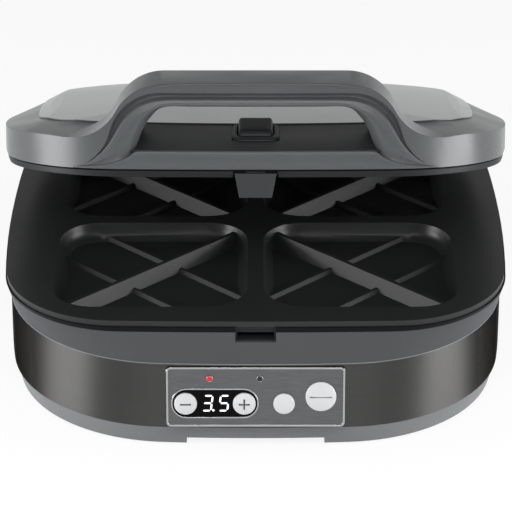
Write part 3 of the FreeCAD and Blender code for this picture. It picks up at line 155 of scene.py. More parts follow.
# Short names for the shader's sockets that are the same all over a surface
SOCKETS = {
    "specular": "Specular IOR Level",
    "edge": "Specular Tint",
    "metallic": "Metallic",
    "anisotropic": "Anisotropic",
    "turn": "Anisotropic Rotation",
    "glow": "Emission Color",
    "glow_strength": "Emission Strength",
}

# Half the height over which a surface changes to its lip's colour, in metres
LIP_BLEND = 0.0001


def above(tree, coords, lip, surface, fine):
    """The surface's colour below a height, and a darker moulded colour above it."""
    height, colour = lip
    split = tree.nodes.new("ShaderNodeSeparateXYZ")
    tree.links.new(coords, split.inputs["Vector"])
    step = tree.nodes.new("ShaderNodeMapRange")
    step.inputs["From Min"].default_value = height - LIP_BLEND
    step.inputs["From Max"].default_value = height + LIP_BLEND
    tree.links.new(split.outputs["Z"], step.inputs["Value"])
    node = tree.nodes.new("ShaderNodeMix")
    node.data_type = "RGBA"
    tree.links.new(step.outputs["Result"], node.inputs["Factor"])
    tree.links.new(surface, node.inputs["A"])
    tree.links.new(ramp(tree, fine, tone(colour, 0.9), tone(colour, 1.1)), node.inputs["B"])
    return node.outputs["Result"]


def finish(name, colour, rough, grain_scale, stretch=(1.0, 1.0, 1.0), spread=0.06, cloud_scale=18.0,
           cloud=0.05, rough_spread=0.05, bump=0.00003, bump_strength=0.4, brushed=False, lip=None, **fixed):
    """A surface whose colour, gloss and relief all vary: broad clouds and a fine grain over them."""
    mat, tree, out = new_tree(name)
    shader = tree.nodes.new("ShaderNodeBsdfPrincipled")
    tree.links.new(shader.outputs["BSDF"], out.inputs["Surface"])
    for socket, value in fixed.items():
        shader.inputs[SOCKETS[socket]].default_value = value
    coords = tree.nodes.new("ShaderNodeTexCoord").outputs["Object"]
    fine = noise(tree, stretched(tree, coords, stretch), grain_scale, 4.0, 0.6)
    broad = noise(tree, coords, cloud_scale, 2.0)
    base = ramp(tree, fine, tone(colour, 1 - spread), tone(colour, 1 + spread))
    veil = ramp(tree, broad, (1 - cloud,) * 3, (1.0,) * 3)
    surface = multiplied(tree, base, veil)
    if lip:
        surface = above(tree, coords, lip, surface, fine)
    tree.links.new(surface, shader.inputs["Base Color"])
    gloss = spread_to(tree, fine if brushed else broad, rough - rough_spread, rough + rough_spread)
    tree.links.new(gloss, shader.inputs["Roughness"])
    relief = tree.nodes.new("ShaderNodeBump")
    relief.inputs["Strength"].default_value = bump_strength
    relief.inputs["Distance"].default_value = bump
    tree.links.new(fine, relief.inputs["Height"])
    tree.links.new(relief.outputs["Normal"], shader.inputs["Normal"])
    if brushed:
        tangent = tree.nodes.new("ShaderNodeTangent")
        tangent.direction_type = "RADIAL"
        tangent.axis = "Z"
        tree.links.new(tangent.outputs["Tangent"], shader.inputs["Tangent"])
    return mat


looks = {
    "lid_plastic": finish("lid_plastic", (0.064, 0.069, 0.071), 0.30, 2600.0, specular=0.27),
    "housing_plastic": finish("housing_plastic", (0.060, 0.063, 0.066), 0.50, 2600.0, specular=0.06,
                              lip=(0.0850, (0.006, 0.006, 0.007))),
    "skirt_plastic": finish("skirt_plastic", (0.140, 0.147, 0.151), 0.45, 2600.0, specular=0.25),
    "rim_plastic": finish("rim_plastic", (0.014, 0.015, 0.016), 0.45, 2600.0, specular=0.12),
    "band_steel": finish("band_steel", (0.084, 0.083, 0.082), 0.46, 60.0, stretch=(0.25, 0.25, 60.0),
                         spread=0.10, brushed=True, metallic=1.0, anisotropic=0.9, turn=0.25, bump=0.00001,
                         edge=(0.12, 0.11, 0.10, 1.0)),
    "inlay_steel": finish("inlay_steel", (0.64, 0.645, 0.65), 0.46, 60.0, stretch=(0.3, 40.0, 40.0),
                          spread=0.05, brushed=True, metallic=1.0, bump=0.00001),
    "grill_aluminium": finish("grill_aluminium", (0.017, 0.0175, 0.018), 0.32, 1500.0, spread=0.25,
                              bump=0.00005, specular=0.28),
    "gloss_black": finish("gloss_black", (0.014, 0.015, 0.016), 0.42, 2600.0, spread=0.1, specular=0.22),
    "display_black": finish("display_black", (0.002, 0.002, 0.002), 0.25, 900.0, spread=0.1, specular=0.06),
    "hook_plastic": finish("hook_plastic", (0.026, 0.028, 0.030), 0.42, 2600.0, specular=0.3),
    "key_silver": finish("key_silver", (0.50, 0.505, 0.51), 0.34, 3000.0, spread=0.04, specular=0.6),
    "panel_metal": finish("panel_metal", (0.150, 0.152, 0.157), 0.40, 90.0, stretch=(1.0, 30.0, 30.0),
                          spread=0.16, brushed=True, metallic=1.0, bump=0.00001),
    "trim_chrome": finish("trim_chrome", (0.46, 0.465, 0.47), 0.28, 900.0, spread=0.03, metallic=1.0,
                          bump_strength=0.04),
    "lamp_red": finish("lamp_red", (0.52, 0.003, 0.003), 0.22, 900.0, spread=0.08,
                       glow=(0.9, 0.01, 0.01, 1.0), glow_strength=0.15),
    "lamp_dark": finish("lamp_dark", (0.010, 0.010, 0.011), 0.15, 900.0, spread=0.1),
    "foot_rubber": finish("foot_rubber", (0.016, 0.016, 0.016), 0.75, 700.0, spread=0.2, bump=0.0001,
                          specular=0.2),
    "hinge_metal": finish("hinge_metal", (0.20, 0.20, 0.205), 0.40, 1200.0, spread=0.08, metallic=1.0),
    "pin_steel": finish("pin_steel", (0.52, 0.52, 0.52), 0.28, 1200.0, spread=0.06, metallic=1.0),
    "heater_steel": finish("heater_steel", (0.22, 0.20, 0.18), 0.42, 500.0, spread=0.2, metallic=1.0),
    "reflector_sheet": finish("reflector_sheet", (0.60, 0.60, 0.60), 0.30, 300.0, spread=0.06, metallic=1.0),
    "board_laminate": finish("board_laminate", (0.020, 0.11, 0.045), 0.42, 900.0, spread=0.15),
    "component_plastic": finish("component_plastic", (0.022, 0.022, 0.024), 0.5, 1500.0, spread=0.12),
    "digit_glow": finish("digit_glow", (0.8, 0.8, 0.8), 0.4, 2000.0, spread=0.03,
                         glow=(1.0, 1.0, 1.0, 1.0), glow_strength=0.75),
    "mark_ink": finish("mark_ink", (0.030, 0.032, 0.034), 0.5, 3000.0, spread=0.1),
}

for obj in nodes.values():
    slot_name = obj.data.materials[0].name
    obj.data.materials[0] = looks[slot_name.split(".")[0]]
nodes["display_window"].data.materials[0] = looks["display_black"]
nodes["base_tray"].data.materials[0] = looks["skirt_plastic"]

# The thin cut edge of the brushed sheet sits in the moulding, so it takes the cover's finish
INLAY_EDGE_TILT = 0.6
sheet = nodes["lid_inlay"].data
sheet.materials.append(looks["lid_plastic"])
lid_up = Vector((0.0, math.sin(LID_OPEN), math.cos(LID_OPEN)))
for face in sheet.polygons:
    if abs(face.normal.dot(lid_up)) < INLAY_EDGE_TILT:
        face.material_index = 1


# Edges of the moulded and pressed pieces are rounded as the real ones are
WELD_REACH = 0.00002
EDGE_ANGLE = math.radians(35.0)


def soften(names, width, segments=3):
    for name in names:
        obj = nodes[name]
        weld = obj.modifiers.new("weld", "WELD")
        weld.merge_threshold = WELD_REACH
        bevel = obj.modifiers.new("bevel", "BEVEL")
        bevel.width = width * MM
        bevel.segments = segments
        bevel.limit_method = "ANGLE"
        bevel.angle_limit = EDGE_ANGLE
        bevel.use_clamp_overlap = True
        bevel.miter_outer = "MITER_ARC"
        normal = obj.modifiers.new("normals", "WEIGHTED_NORMAL")
        normal.keep_sharp = False
        for face in obj.data.polygons:
            face.use_smooth = True


soften(("base_frame", "lid_frame", "latch_hook", "finger_tray"), 0.6)
soften(("lid_cover",), 0.9)
soften(("base_tray", "lower_plate", "upper_plate"), 0.6)
soften(("steel_band", "panel_bezel", "display_trim"), 0.25, 2)
soften(("minus_button", "plus_button", "extra_button", "start_button"), 0.35)


# Pieces built here
def on_panel(x, v, w):
    """A place on the leaning panel: right, up along its face, and out from it, all in millimetres."""
    y = PANEL_CENTRE.y + v * math.sin(PANEL_LEAN) - w * math.cos(PANEL_LEAN)
    z = PANEL_CENTRE.z + v * math.cos(PANEL_LEAN) + w * math.sin(PANEL_LEAN)
    return Vector((x, y, z)) * MM


def corner_of(wide, deep, bow, flank, corner):
    """Middles of an outline's front bow, side bow and front corner arc, the corner tangent inside to both."""
    front = Vector((0.0, bow - deep))
    side = Vector((wide - flank, 0.0))
    near, far = bow - corner, flank - corner
    span = side - front
    along = (near ** 2 - far ** 2 + span.length_squared) / (2 * span.length)
    across = math.sqrt(near ** 2 - along ** 2)
    unit = span.normalized()
    spots = [front + unit * along + Vector((-unit.y, unit.x)) * turn * across for turn in (1, -1)]
    return front, side, max(spots, key=lambda p: p.x - p.y)


CORNER = corner_of(LID_HALF_WIDTH, LID_HALF_DEPTH, LID_BOW, LID_FLANK, LID_CORNER)[2]
BOW_END = CORNER.x * LID_BOW / (LID_BOW - LID_CORNER)


def front_y(x):
    """The lid's front outline at x, in the closed lid's frame."""
    if abs(x) <= BOW_END:
        return LID_CENTRE + LID_BOW - LID_HALF_DEPTH - math.sqrt(LID_BOW ** 2 - x ** 2)
    return LID_CENTRE + CORNER.y - math.sqrt(LID_CORNER ** 2 - (abs(x) - CORNER.x) ** 2)


LID_TURN = (Matrix.Translation(HINGE * MM) @ Matrix.Rotation(-LID_OPEN, 4, "X")
            @ Matrix.Translation(-HINGE * MM))


def on_lid(x, back, rise):
    """A place on the open lid: across, back from its front outline, and up from its rim."""
    return LID_TURN @ (Vector((x, front_y(x) + back, LID_Z + rise)) * MM)


def piece(name, bm, look, body, smooth=False):
    bmesh.ops.recalc_face_normals(bm, faces=bm.faces)
    mesh = bpy.data.meshes.new(name)
    bm.to_mesh(mesh)
    bm.free()
    obj = bpy.data.objects.new(name, mesh)
    scene.collection.objects.link(obj)
    mesh.materials.append(looks[look])
    for face in mesh.polygons:
        face.use_smooth = smooth
    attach(obj, body)
    return obj


def join(bm, first, second):
    """Faces all round between two rings of vertices."""
    count = len(first)
    for i in range(count):
        j = (i + 1) % count
        bm.faces.new((first[i], first[j], second[j], second[i]))


def skin(bm, rings):
    """Faces between rings of points, with a cap on each end."""
    grid = [[bm.verts.new(p) for p in ring] for ring in rings]
    for first, second in zip(grid, grid[1:]):
        join(bm, first, second)
    bm.faces.new(grid[0])
    bm.faces.new(list(reversed(grid[-1])))


def tube(bm, rings):
    """Faces between rings of points, with the last ring joined to the first."""
    grid = [[bm.verts.new(p) for p in ring] for ring in rings]
    for first, second in zip(grid, grid[1:] + grid[:1]):
        join(bm, first, second)


def curve_through(points, steps):
    """A smooth curve through points (Catmull-Rom), each a tuple of numbers."""
    out = []
    count = len(points)
    for i in range(count - 1):
        p0, p1 = points[max(i - 1, 0)], points[i]
        p2, p3 = points[i + 1], points[min(i + 2, count - 1)]
        for k in range(steps):
            share = k / steps
            out.append(tuple(
                0.5 * (2 * b + (c - a) * share + (2 * a - 5 * b + 4 * c - d) * share * share
                       + (3 * b - a - 3 * c + d) * share ** 3)
                for a, b, c, d in zip(p0, p1, p2, p3)))
    out.append(tuple(points[-1]))
    return out


# Grip of the handle: a hollow under the crease, a round ridge, then the inner side of each leg
# Each station, from the tip of the leg to the middle of the handle, has three places as (across, up):
# the outer edge, the ridge and the inner edge. Its last number is how far back the inner side runs
GRIP_STATIONS = (
    ((-116.0, 5.6), (-115.6, 6.0), (-115.0, 5.2), 2.4),
    ((-105.6, 9.3), (-103.8, 9.0), (-101.5, 6.9), 2.4),
    ((-98.0, 15.9), (-96.2, 14.2), (-92.0, 8.4), 2.4),
    ((-94.2, 21.6), (-91.4, 18.6), (-84.5, 10.6), 2.6),
    ((-91.2, 28.0), (-87.2, 24.2), (-78.2, 13.6), 6.0),
    ((-88.0, 35.6), (-82.8, 30.5), (-74.2, 20.0), 34.0),
    ((-83.6, 42.0), (-77.4, 36.9), (-70.6, 28.8), 41.0),
    ((-74.4, 49.4), (-69.2, 42.9), (-66.0, 36.4), 41.0),
    ((-61.5, 52.9), (-57.2, 46.2), (-57.2, 43.2), 41.0),
    ((-40.0, 52.9), (-36.9, 46.9), (-37.0, 43.6), 41.0),
    ((0.0, 52.9), (0.0, 46.9), (0.0, 43.6), 41.0),
)
# Spans from edge to ridge and from ridge to inner edge over which the hollow and the roll reach full size
FULL_HOLLOW, FULL_ROLL = 7.0, 8.0
# How far back the outer edge sits, how much deeper the hollow's bank and bottom are, and their shares across
EDGE_SET, BANK_DEPTH, HOLLOW_DEPTH = 1.0, 2.2, 3.0
BANK_SHARE, HOLLOW_SHARE = 0.4, 0.42
# The ridge from the hollow over its face to the inner edge: share of the way, and how far back
RISE_SHARE, RISE_BACK = 0.62, 1.5
SHOULDER_SHARE, SHOULDER_BACK = 0.72, 0.35
BEAD_BACK = -0.2
RIDGE_SHARE, RIDGE_BACK = 0.38, -0.6
ROLL_SHARE, ROLL_BACK = 0.70, 1.8
# The inner edge: how far back at most, the most of the leg's depth, and how much longer its straight run is
INNER_BACK, INNER_SHARE, INNER_RUN = 7.5, 0.6, 1.6
# How far the outer edge reaches into the handle, and how far back its rear side starts
GRIP_EMBED, REAR_SET = 0.7, 2.2
FRONT_STEPS, STATION_STEPS = 4, 8


def grip_section(edge, ridge, inner, deep):
    """The front and the rear points of one section, each as (across, back, up)."""
    edge, ridge, inner = Vector(edge), Vector(ridge), Vector(inner)
    out = (edge - ridge).normalized() * GRIP_EMBED
    width = min(1.0, (edge - ridge).length / FULL_HOLLOW)
    hollow = edge.lerp(ridge, HOLLOW_SHARE)
    roll = min(1.0, (ridge - inner).length / FULL_ROLL)
    inner_back = min(INNER_BACK, deep * INNER_SHARE)
    front = (
        (edge + out, EDGE_SET),
        (edge.lerp(hollow, BANK_SHARE), EDGE_SET + BANK_DEPTH * width),
        (hollow, EDGE_SET + HOLLOW_DEPTH * width),
        (edge.lerp(ridge, RISE_SHARE), RISE_BACK * width),
        (edge.lerp(ridge, SHOULDER_SHARE), SHOULDER_BACK),
        (ridge, BEAD_BACK * width),
        (ridge.lerp(inner, RIDGE_SHARE), RIDGE_BACK * width),
        (ridge.lerp(inner, ROLL_SHARE), ROLL_BACK * roll),
        (inner, inner_back),
        (inner, inner_back * INNER_RUN),
    )
    rear = ((inner, deep), (edge - out * 2, deep), (edge - out, REAR_SET))
    return [(p.x, back, p.y) for p, back in front], [(p.x, back, p.y) for p, back in rear]


def mirrored(points):
    return [(-x, back, up) for x, back, up in points]


def grip():
    half = [grip_section(*station) for station in GRIP_STATIONS]
    other = [(mirrored(front), mirrored(rear)) for front, rear in half[-2::-1]]
    sections = [curve_through(front, FRONT_STEPS) + rear for front, rear in half + other]
    columns = [curve_through([section[i] for section in sections], STATION_STEPS)
               for i in range(len(sections[0]))]
    rings = [[on_lid(*column[k]) for column in columns] for k in range(len(columns[0]))]
    bm = bmesh.new()
    skin(bm, rings)
    return piece("grip_shell", bm, "lid_plastic", "lid", smooth=True)


# Fine bead along the crease on top of the handle
CREASE_PATH = ((-70.0, 54.2), (-63.0, 56.2), (-54.0, 57.6), (-34.4, 58.3), (0.0, 58.4))
CREASE_OUT, CREASE_HALF, CREASE_SET = 0.9, 0.9, 0.15
CREASE_STEPS, CREASE_SIDES, CREASE_FADE = 8, 8, 12.0


def handle_bead():
    path = curve_through(list(CREASE_PATH) + [(-x, up) for x, up in CREASE_PATH[-2::-1]], CREASE_STEPS)
    last = len(path) - 1
    rings = []
    for i, (x, up) in enumerate(path):
        before, after = Vector(path[max(i - 1, 0)]), Vector(path[min(i + 1, last)])
        way = (after - before).normalized()
        across = Vector((-way.y, way.x))
        fade = min(1.0, (min(i, last - i) + 0.5) / CREASE_FADE)
        ring_points = []
        for k in range(CREASE_SIDES):
            angle = 2 * math.pi * k / CREASE_SIDES
            spot = Vector((x, up)) + across * CREASE_HALF * fade * math.sin(angle)
            ring_points.append(on_lid(spot.x, CREASE_SET - CREASE_OUT * fade * math.cos(angle), spot.y))
        rings.append(ring_points)
    bm = bmesh.new()
    skin(bm, rings)
    return piece("handle_bead", bm, "lid_plastic", "lid", smooth=True)


# Front band of the lid below the finger opening; its ends taper under the legs of the handle
BAND_FOOT, BAND_FACE, BAND_REAR = 4.9, 0.5, 3.0
BAND_TOP = ((-113.0, 6.0), (-104.5, 6.7), (-94.2, 8.0), (-86.0, 10.0), (-79.5, 12.8), (-75.6, 15.6),
            (-71.0, 16.5), (-55.0, 16.5), (-25.0, 16.5), (0.0, 16.5))
# Chamfer of its lower edge as (back, up), and the round of its upper edge in steps of (back, down)
BAND_CHAMFER = (0.4, 0.5)
BAND_ROUND = ((0.0, 1.2), (0.25, 0.45), (0.9, 0.05), (1.6, 0.0))
BAND_FULL_HEIGHT, BAND_STEPS = 3.0, 6


def band():
    ends = list(BAND_TOP) + [(-x, top) for x, top in BAND_TOP[-2::-1]]
    rings = []
    for x, top in curve_through(ends, BAND_STEPS):
        edge = min(1.0, (top - BAND_FOOT) / BAND_FULL_HEIGHT)
        profile = [(BAND_FACE + BAND_CHAMFER[0] * edge, BAND_FOOT),
                   (BAND_FACE, BAND_FOOT + BAND_CHAMFER[1] * edge)]
        profile += [(BAND_FACE + back, top - down * edge) for back, down in BAND_ROUND]
        profile += [(BAND_REAR, top), (BAND_REAR, BAND_FOOT)]
        rings.append([on_lid(x, back, up) for back, up in profile])
    bm = bmesh.new()
    skin(bm, rings)
    return piece("grip_band", bm, "lid_plastic", "lid", smooth=True)


# Ears that carry the latch pin behind the front band
EAR_X = (12.5, 16.5)
EAR_BACK = (3.0, 17.5)
EAR_RISE = (7.5, 14.6)
EAR_CHAMFER = 2.0


def ears():
    bm = bmesh.new()
    for side in (-1, 1):
        rings = []
        for x in EAR_X:
            profile = ((EAR_BACK[0], EAR_RISE[0]), (EAR_BACK[1] - EAR_CHAMFER, EAR_RISE[0]),
                       (EAR_BACK[1], EAR_RISE[0] + EAR_CHAMFER), (EAR_BACK[1], EAR_RISE[1] - EAR_CHAMFER),
                       (EAR_BACK[1] - EAR_CHAMFER, EAR_RISE[1]), (EAR_BACK[0], EAR_RISE[1]))
            rings.append([on_lid(side * x, back, up) for back, up in profile])
        skin(bm, rings)
    return piece("latch_ears", bm, "lid_plastic", "lid")


# Latch button: a rounded cap, and a low rounded frame round it on the finger tray
# Each outline has half its width, its run from front to back and the radius of its corners
TRAY_FRONT, TRAY_RISE, TRAY_SLOPE = 3.0, 16.5, 10.5 / 47.3
FRAME_HALF, FRAME_RUN, FRAME_ROUND = 15.0, (20.0, 49.8), 7.0
HOLE_HALF, HOLE_RUN, HOLE_ROUND = 11.6, (26.4, 47.8), 2.6
CAP_HALF, CAP_RUN, CAP_ROUND = 11.0, (27.0, 45.4), 2.4
CAP_TOP = (25.6, 33.2)
CAP_SINK = 1.0
# Edges of the frame and of its hole in steps of (inset, lift from the tray)
FRAME_EDGE = ((0.0, -0.4), (0.0, 0.5), (0.35, 1.05), (0.9, 1.3))
HOLE_EDGE = ((-0.7, 1.3), (-0.2, 1.05), (0.0, 0.5), (0.0, -0.4))
# The cap from its foot to the middle of its top: inset, share of its height, and lift
CAP_LEVELS = ((0.0, 0.0, 0.0), (0.0, 0.55, 0.0), (0.25, 1.0, -1.9), (0.6, 1.0, -1.15), (1.15, 1.0, -0.55),
              (1.9, 1.0, -0.15), (3.0, 1.0, 0.0), (5.0, 1.0, 0.1))
LEAST_ROUND = 0.3


def tray_rise(back):
    return TRAY_RISE + (back - TRAY_FRONT) * TRAY_SLOPE


def rounded(half, run, radius, inset=0.0, steps=6):
    """A rectangle with round corners as (across, back) points."""
    half, low, high = half - inset, run[0] + inset, run[1] - inset
    radius = max(radius - inset, LEAST_ROUND)
    points = []
    for x, back, first in ((half - radius, high - radius, 0), (radius - half, high - radius, 1),
                           (radius - half, low + radius, 2), (half - radius, low + radius, 3)):
        for k in range(steps + 1):
            angle = math.pi / 2 * (first + k / steps)
            points.append((x + radius * math.cos(angle), back + radius * math.sin(angle)))
    return points


def latch_frame():
    outer = (FRAME_HALF, FRAME_RUN, FRAME_ROUND)
    inner = (HOLE_HALF, HOLE_RUN, HOLE_ROUND)
    rings = [[on_lid(x, back, tray_rise(back) + lift) for x, back in rounded(*outline, inset)]
             for outline, steps in ((outer, FRAME_EDGE), (inner, HOLE_EDGE)) for inset, lift in steps]
    bm = bmesh.new()
    tube(bm, rings)
    return piece("latch_surround", bm, "gloss_black", "lid", smooth=True)


def latch_cap():
    climb = (CAP_TOP[1] - CAP_TOP[0]) / (CAP_RUN[1] - CAP_RUN[0])
    rings = []
    for inset, share, lift in CAP_LEVELS:
        ring_points = []
        for x, back in rounded(CAP_HALF, CAP_RUN, CAP_ROUND, inset):
            foot = tray_rise(back) - CAP_SINK
            top = CAP_TOP[0] + (back - CAP_RUN[0]) * climb
            ring_points.append(on_lid(x, back, foot + (top - foot) * share + lift))
        rings.append(ring_points)
    bm = bmesh.new()
    skin(bm, rings)
    return piece("latch_cap", bm, "gloss_black", "latch", smooth=True)


# Bead along the crease between the housing and the steel band, in the skirt's lighter grey: a painted
# highlight standing in for the lit top edge of the band
# Its outline has a half width, a half depth and the radii of front, side and corner; its section is (out, up)
BASE_CREASE = (170.0, 175.0, 1270.0, 520.0, 109.0)
BASE_CREASE_Z = 64.0
BASE_BEAD = ((-0.4, -0.45), (0.3, -0.35), (0.5, 0.0), (0.3, 0.35), (-0.4, 0.45))


def whole_outline(wide, deep, bow, flank, corner, steps=24):
    """Points and outward directions all round an outline, from the middle of the front."""
    front, side, middle = corner_of(wide, deep, bow, flank, corner)
    first = math.atan2(middle.y - front.y, middle.x - front.x)
    second = math.atan2(middle.y - side.y, middle.x - side.x)
    quarter = []
    for centre, radius, start, stop in ((front, bow, -math.pi / 2, first), (middle, corner, first, second),
                                        (side, flank, second, 0.0)):
        for k in range(steps):
            angle = start + (stop - start) * k / steps
            way = Vector((math.cos(angle), math.sin(angle)))
            quarter.append((centre + way * radius, way))
    quarter.append((Vector((wide, 0.0)), Vector((1.0, 0.0))))

    def turned(part, right, back):
        return [(Vector((p.x * right, p.y * back)), Vector((n.x * right, n.y * back))) for p, n in part]

    return (quarter[:-1] + turned(quarter[:0:-1], 1, -1) + turned(quarter[:-1], -1, -1)
            + turned(quarter[:0:-1], -1, 1))


def crease_painted_highlight():
    outline = whole_outline(*BASE_CREASE)
    rings = [[Vector((*(p + n * out), BASE_CREASE_Z + up)) * MM for p, n in outline] for out, up in BASE_BEAD]
    bm = bmesh.new()
    tube(bm, rings)
    # The skirt's lighter grey on this bead is a painted highlight along the crease
    return piece("crease_painted_highlight", bm, "skirt_plastic", "base", smooth=True)


crease_painted_highlight()
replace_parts(latch_frame(), "latch_bezel")
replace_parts(latch_cap(), "latch_button")
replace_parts(grip(), "grip_frame")
handle_bead()
band()
ears()


LEAST_STEP = 0.01


def raised(bm, outline, low, high, inset):
    """A flat mark with a chamfered edge on the panel: outline points are (x, v)."""
    centre = sum((Vector(p) for p in outline), Vector((0.0, 0.0))) / len(outline)
    shrunk = []
    for p in outline:
        step = Vector(p) - centre
        length = max(step.length - inset, LEAST_STEP)
        shrunk.append(centre + step.normalized() * length)
    rings = (
        [on_panel(p[0], p[1], low) for p in outline],
        [on_panel(p[0], p[1], (low + 2 * high) / 3) for p in outline],
        [on_panel(p[0], p[1], high) for p in shrunk],
    )
    skin(bm, rings)


# Seven-segment digits on the display glass
DIGIT_HEIGHT = 11.4
DIGIT_WIDTH = 5.4
DIGIT_STROKE = 1.12
DIGIT_GAP = 0.40
DIGIT_SLANT = math.tan(math.radians(7.5))
DIGIT_V = -4.2
DIGIT_X = (-30.9, -20.3)
DIGIT_LOW, DIGIT_HIGH, DIGIT_CHAMFER = GLASS_FACE - 0.05, GLASS_FACE + 0.1, 0.05
POINT_X, POINT_V, POINT_RADIUS, POINT_SIDES = 4.3, -DIGIT_HEIGHT / 2 + 0.8, 0.75, 20
SEGMENTS = {"3": "abcdg", "5": "acdfg"}


def segment(kind):
    """The outline of one segment, a bar with pointed ends."""
    half_width, half_height = DIGIT_WIDTH / 2, DIGIT_HEIGHT / 2 - DIGIT_STROKE / 2
    thick = DIGIT_STROKE / 2
    lying = {"a": half_height, "g": 0.0, "d": -half_height}
    if kind in lying:
        v = lying[kind]
        left, right = -half_width + DIGIT_GAP, half_width - DIGIT_GAP
        return [(left, v), (left + thick, v + thick), (right - thick, v + thick),
                (right, v), (right - thick, v - thick), (left + thick, v - thick)]
    x = half_width if kind in "bc" else -half_width
    low, high = -half_height + DIGIT_GAP, -DIGIT_GAP
    if kind in "bf":
        low, high = DIGIT_GAP, half_height - DIGIT_GAP
    return [(x, low), (x - thick, low + thick), (x - thick, high - thick),
            (x, high), (x + thick, high - thick), (x + thick, low + thick)]


def circle(x, v, radius, count=32):
    return [(x + radius * math.cos(2 * math.pi * i / count), v + radius * math.sin(2 * math.pi * i / count))
            for i in range(count)]


def slanted(points, x0):
    return [(x0 + x + v * DIGIT_SLANT, DIGIT_V + v) for x, v in points]


digits = bmesh.new()
for figure, place in zip("35", DIGIT_X):
    for kind in SEGMENTS[figure]:
        raised(digits, slanted(segment(kind), place), DIGIT_LOW, DIGIT_HIGH, DIGIT_CHAMFER)
point = circle(POINT_X, POINT_V, POINT_RADIUS, POINT_SIDES)
raised(digits, slanted(point, DIGIT_X[0]), DIGIT_LOW, DIGIT_HIGH, DIGIT_CHAMFER)
piece("display_digits", digits, "digit_glow", "base")


# Signs on the two setting keys and the line across the large key
def bar_outline(x, v, width, height):
    return [(x - width / 2, v - height / 2), (x + width / 2, v - height / 2),
            (x + width / 2, v + height / 2), (x - width / 2, v + height / 2)]


KEY_V = -4.4
MINUS_X, PLUS_X, EXTRA_X = -45.1, -7.3, 18.3
START_X, START_V = 42.0, 0.6
SIGN_LENGTH, SIGN_STROKE = 7.0, 0.95
LINE_LENGTH, LINE_STROKE = 14.2, 0.36

# Slightly domed faces of the four keys: place on the panel and radius
KEY_CROWNS = {
    "minus": ((MINUS_X, KEY_V), 7.3),
    "plus": ((PLUS_X, KEY_V), 7.3),
    "extra": ((EXTRA_X, KEY_V), 6.9),
    "start": ((START_X, START_V), 9.9),
}
CROWN_INSET, CROWN_RISE, CROWN_SINK = 0.3, 1.3, 0.3
CROWN_SHARES = (0.95, 0.86, 0.72, 0.55, 0.36, 0.16)
CROWN_SIDES = 48
SIGN_TOP = KEY_FACE + CROWN_RISE + 0.04
SIGN_CHAMFER = 0.03


def crown(spot, radius):
    bm = bmesh.new()
    outer = radius - CROWN_INSET
    levels = [(outer, -CROWN_SINK), (outer, 0.0)]
    levels += [(outer * share, CROWN_RISE * (1 - share * share)) for share in CROWN_SHARES]
    skin(bm, [[on_panel(x, v, KEY_FACE + rise) for x, v in circle(*spot, reach, CROWN_SIDES)]
              for reach, rise in levels])
    return bm


for key_name, (spot, radius) in KEY_CROWNS.items():
    piece(key_name + "_crown", crown(spot, radius), "key_silver", key_name + "_button",
          smooth=True)

minus = bmesh.new()
raised(minus, bar_outline(MINUS_X, KEY_V, SIGN_LENGTH, SIGN_STROKE), KEY_FACE, SIGN_TOP, SIGN_CHAMFER)
piece("minus_sign", minus, "mark_ink", "minus_button")

plus = bmesh.new()
reach, thick = SIGN_LENGTH / 2, SIGN_STROKE / 2
cross = [(reach, -thick), (reach, thick), (thick, thick), (thick, reach), (-thick, reach), (-thick, thick),
         (-reach, thick), (-reach, -thick), (-thick, -thick), (-thick, -reach), (thick, -reach),
         (thick, -thick)]
raised(plus, [(PLUS_X + x, KEY_V + v) for x, v in cross], KEY_FACE, SIGN_TOP, SIGN_CHAMFER)
piece("plus_sign", plus, "mark_ink", "plus_button")

line = bmesh.new()
raised(line, bar_outline(START_X, START_V, LINE_LENGTH, LINE_STROKE), KEY_FACE, SIGN_TOP, SIGN_CHAMFER)
piece("start_line", line, "mark_ink", "start_button")


# Lamps: a domed lens and a thin bright ring round each
LAMP_SPOTS = {"power": ((-29.5, 12.8), "lamp_red"), "ready": ((2.7, 12.8), "lamp_dark")}
LENS_RADIUS, LENS_SINK, LENS_WALL, LENS_RISE, LENS_STEPS = 1.75, 0.2, 0.15, 0.7, 5
# The ring's section as (radius, height over the ring's foot), which lies a little under the panel's face
RING_RADIUS, RING_SINK = 2.15, 0.1
RING_SECTION = ((LENS_RADIUS + 0.02, 0.0), (LENS_RADIUS + 0.02, 0.8), (LENS_RADIUS + 0.15, 0.95),
                (RING_RADIUS - 0.1, 0.95), (RING_RADIUS, 0.6), (RING_RADIUS, 0.0))


def dome(x, v):
    bm = bmesh.new()
    levels = [(LENS_RADIUS, -LENS_SINK), (LENS_RADIUS, LENS_WALL)]
    for k in range(1, LENS_STEPS + 1):
        angle = math.pi / 2 * k / (LENS_STEPS + 0.5)
        levels.append((LENS_RADIUS * math.cos(angle), LENS_WALL + LENS_RISE * math.sin(angle)))
    skin(bm, [[on_panel(*p, LAMP_FACE + rise) for p in circle(x, v, radius)] for radius, rise in levels])
    return bm


def ring(x, v):
    bm = bmesh.new()
    tube(bm, [[on_panel(*p, rise - RING_SINK) for p in circle(x, v, radius)]
              for radius, rise in RING_SECTION])
    return bm


for lamp_name, (spot, look) in LAMP_SPOTS.items():
    piece(lamp_name + "_lens", dome(*spot), look, "base", smooth=True)
    piece(lamp_name + "_ring", ring(*spot), "trim_chrome", "base", smooth=True)


# Stage: a pale floor, a bright surround and soft lamps
FLOOR_SIZE, FLOOR_GREY, FLOOR_SHOWN = 12.0, 0.86, 0.86
WALL_ALL, WALL_SIDES, WALL_BEHIND, WALL_ABOVE = 0.30, 0.10, 0.10, 0.10
SIDE_AIM = (0.0, -0.05, 0.10)


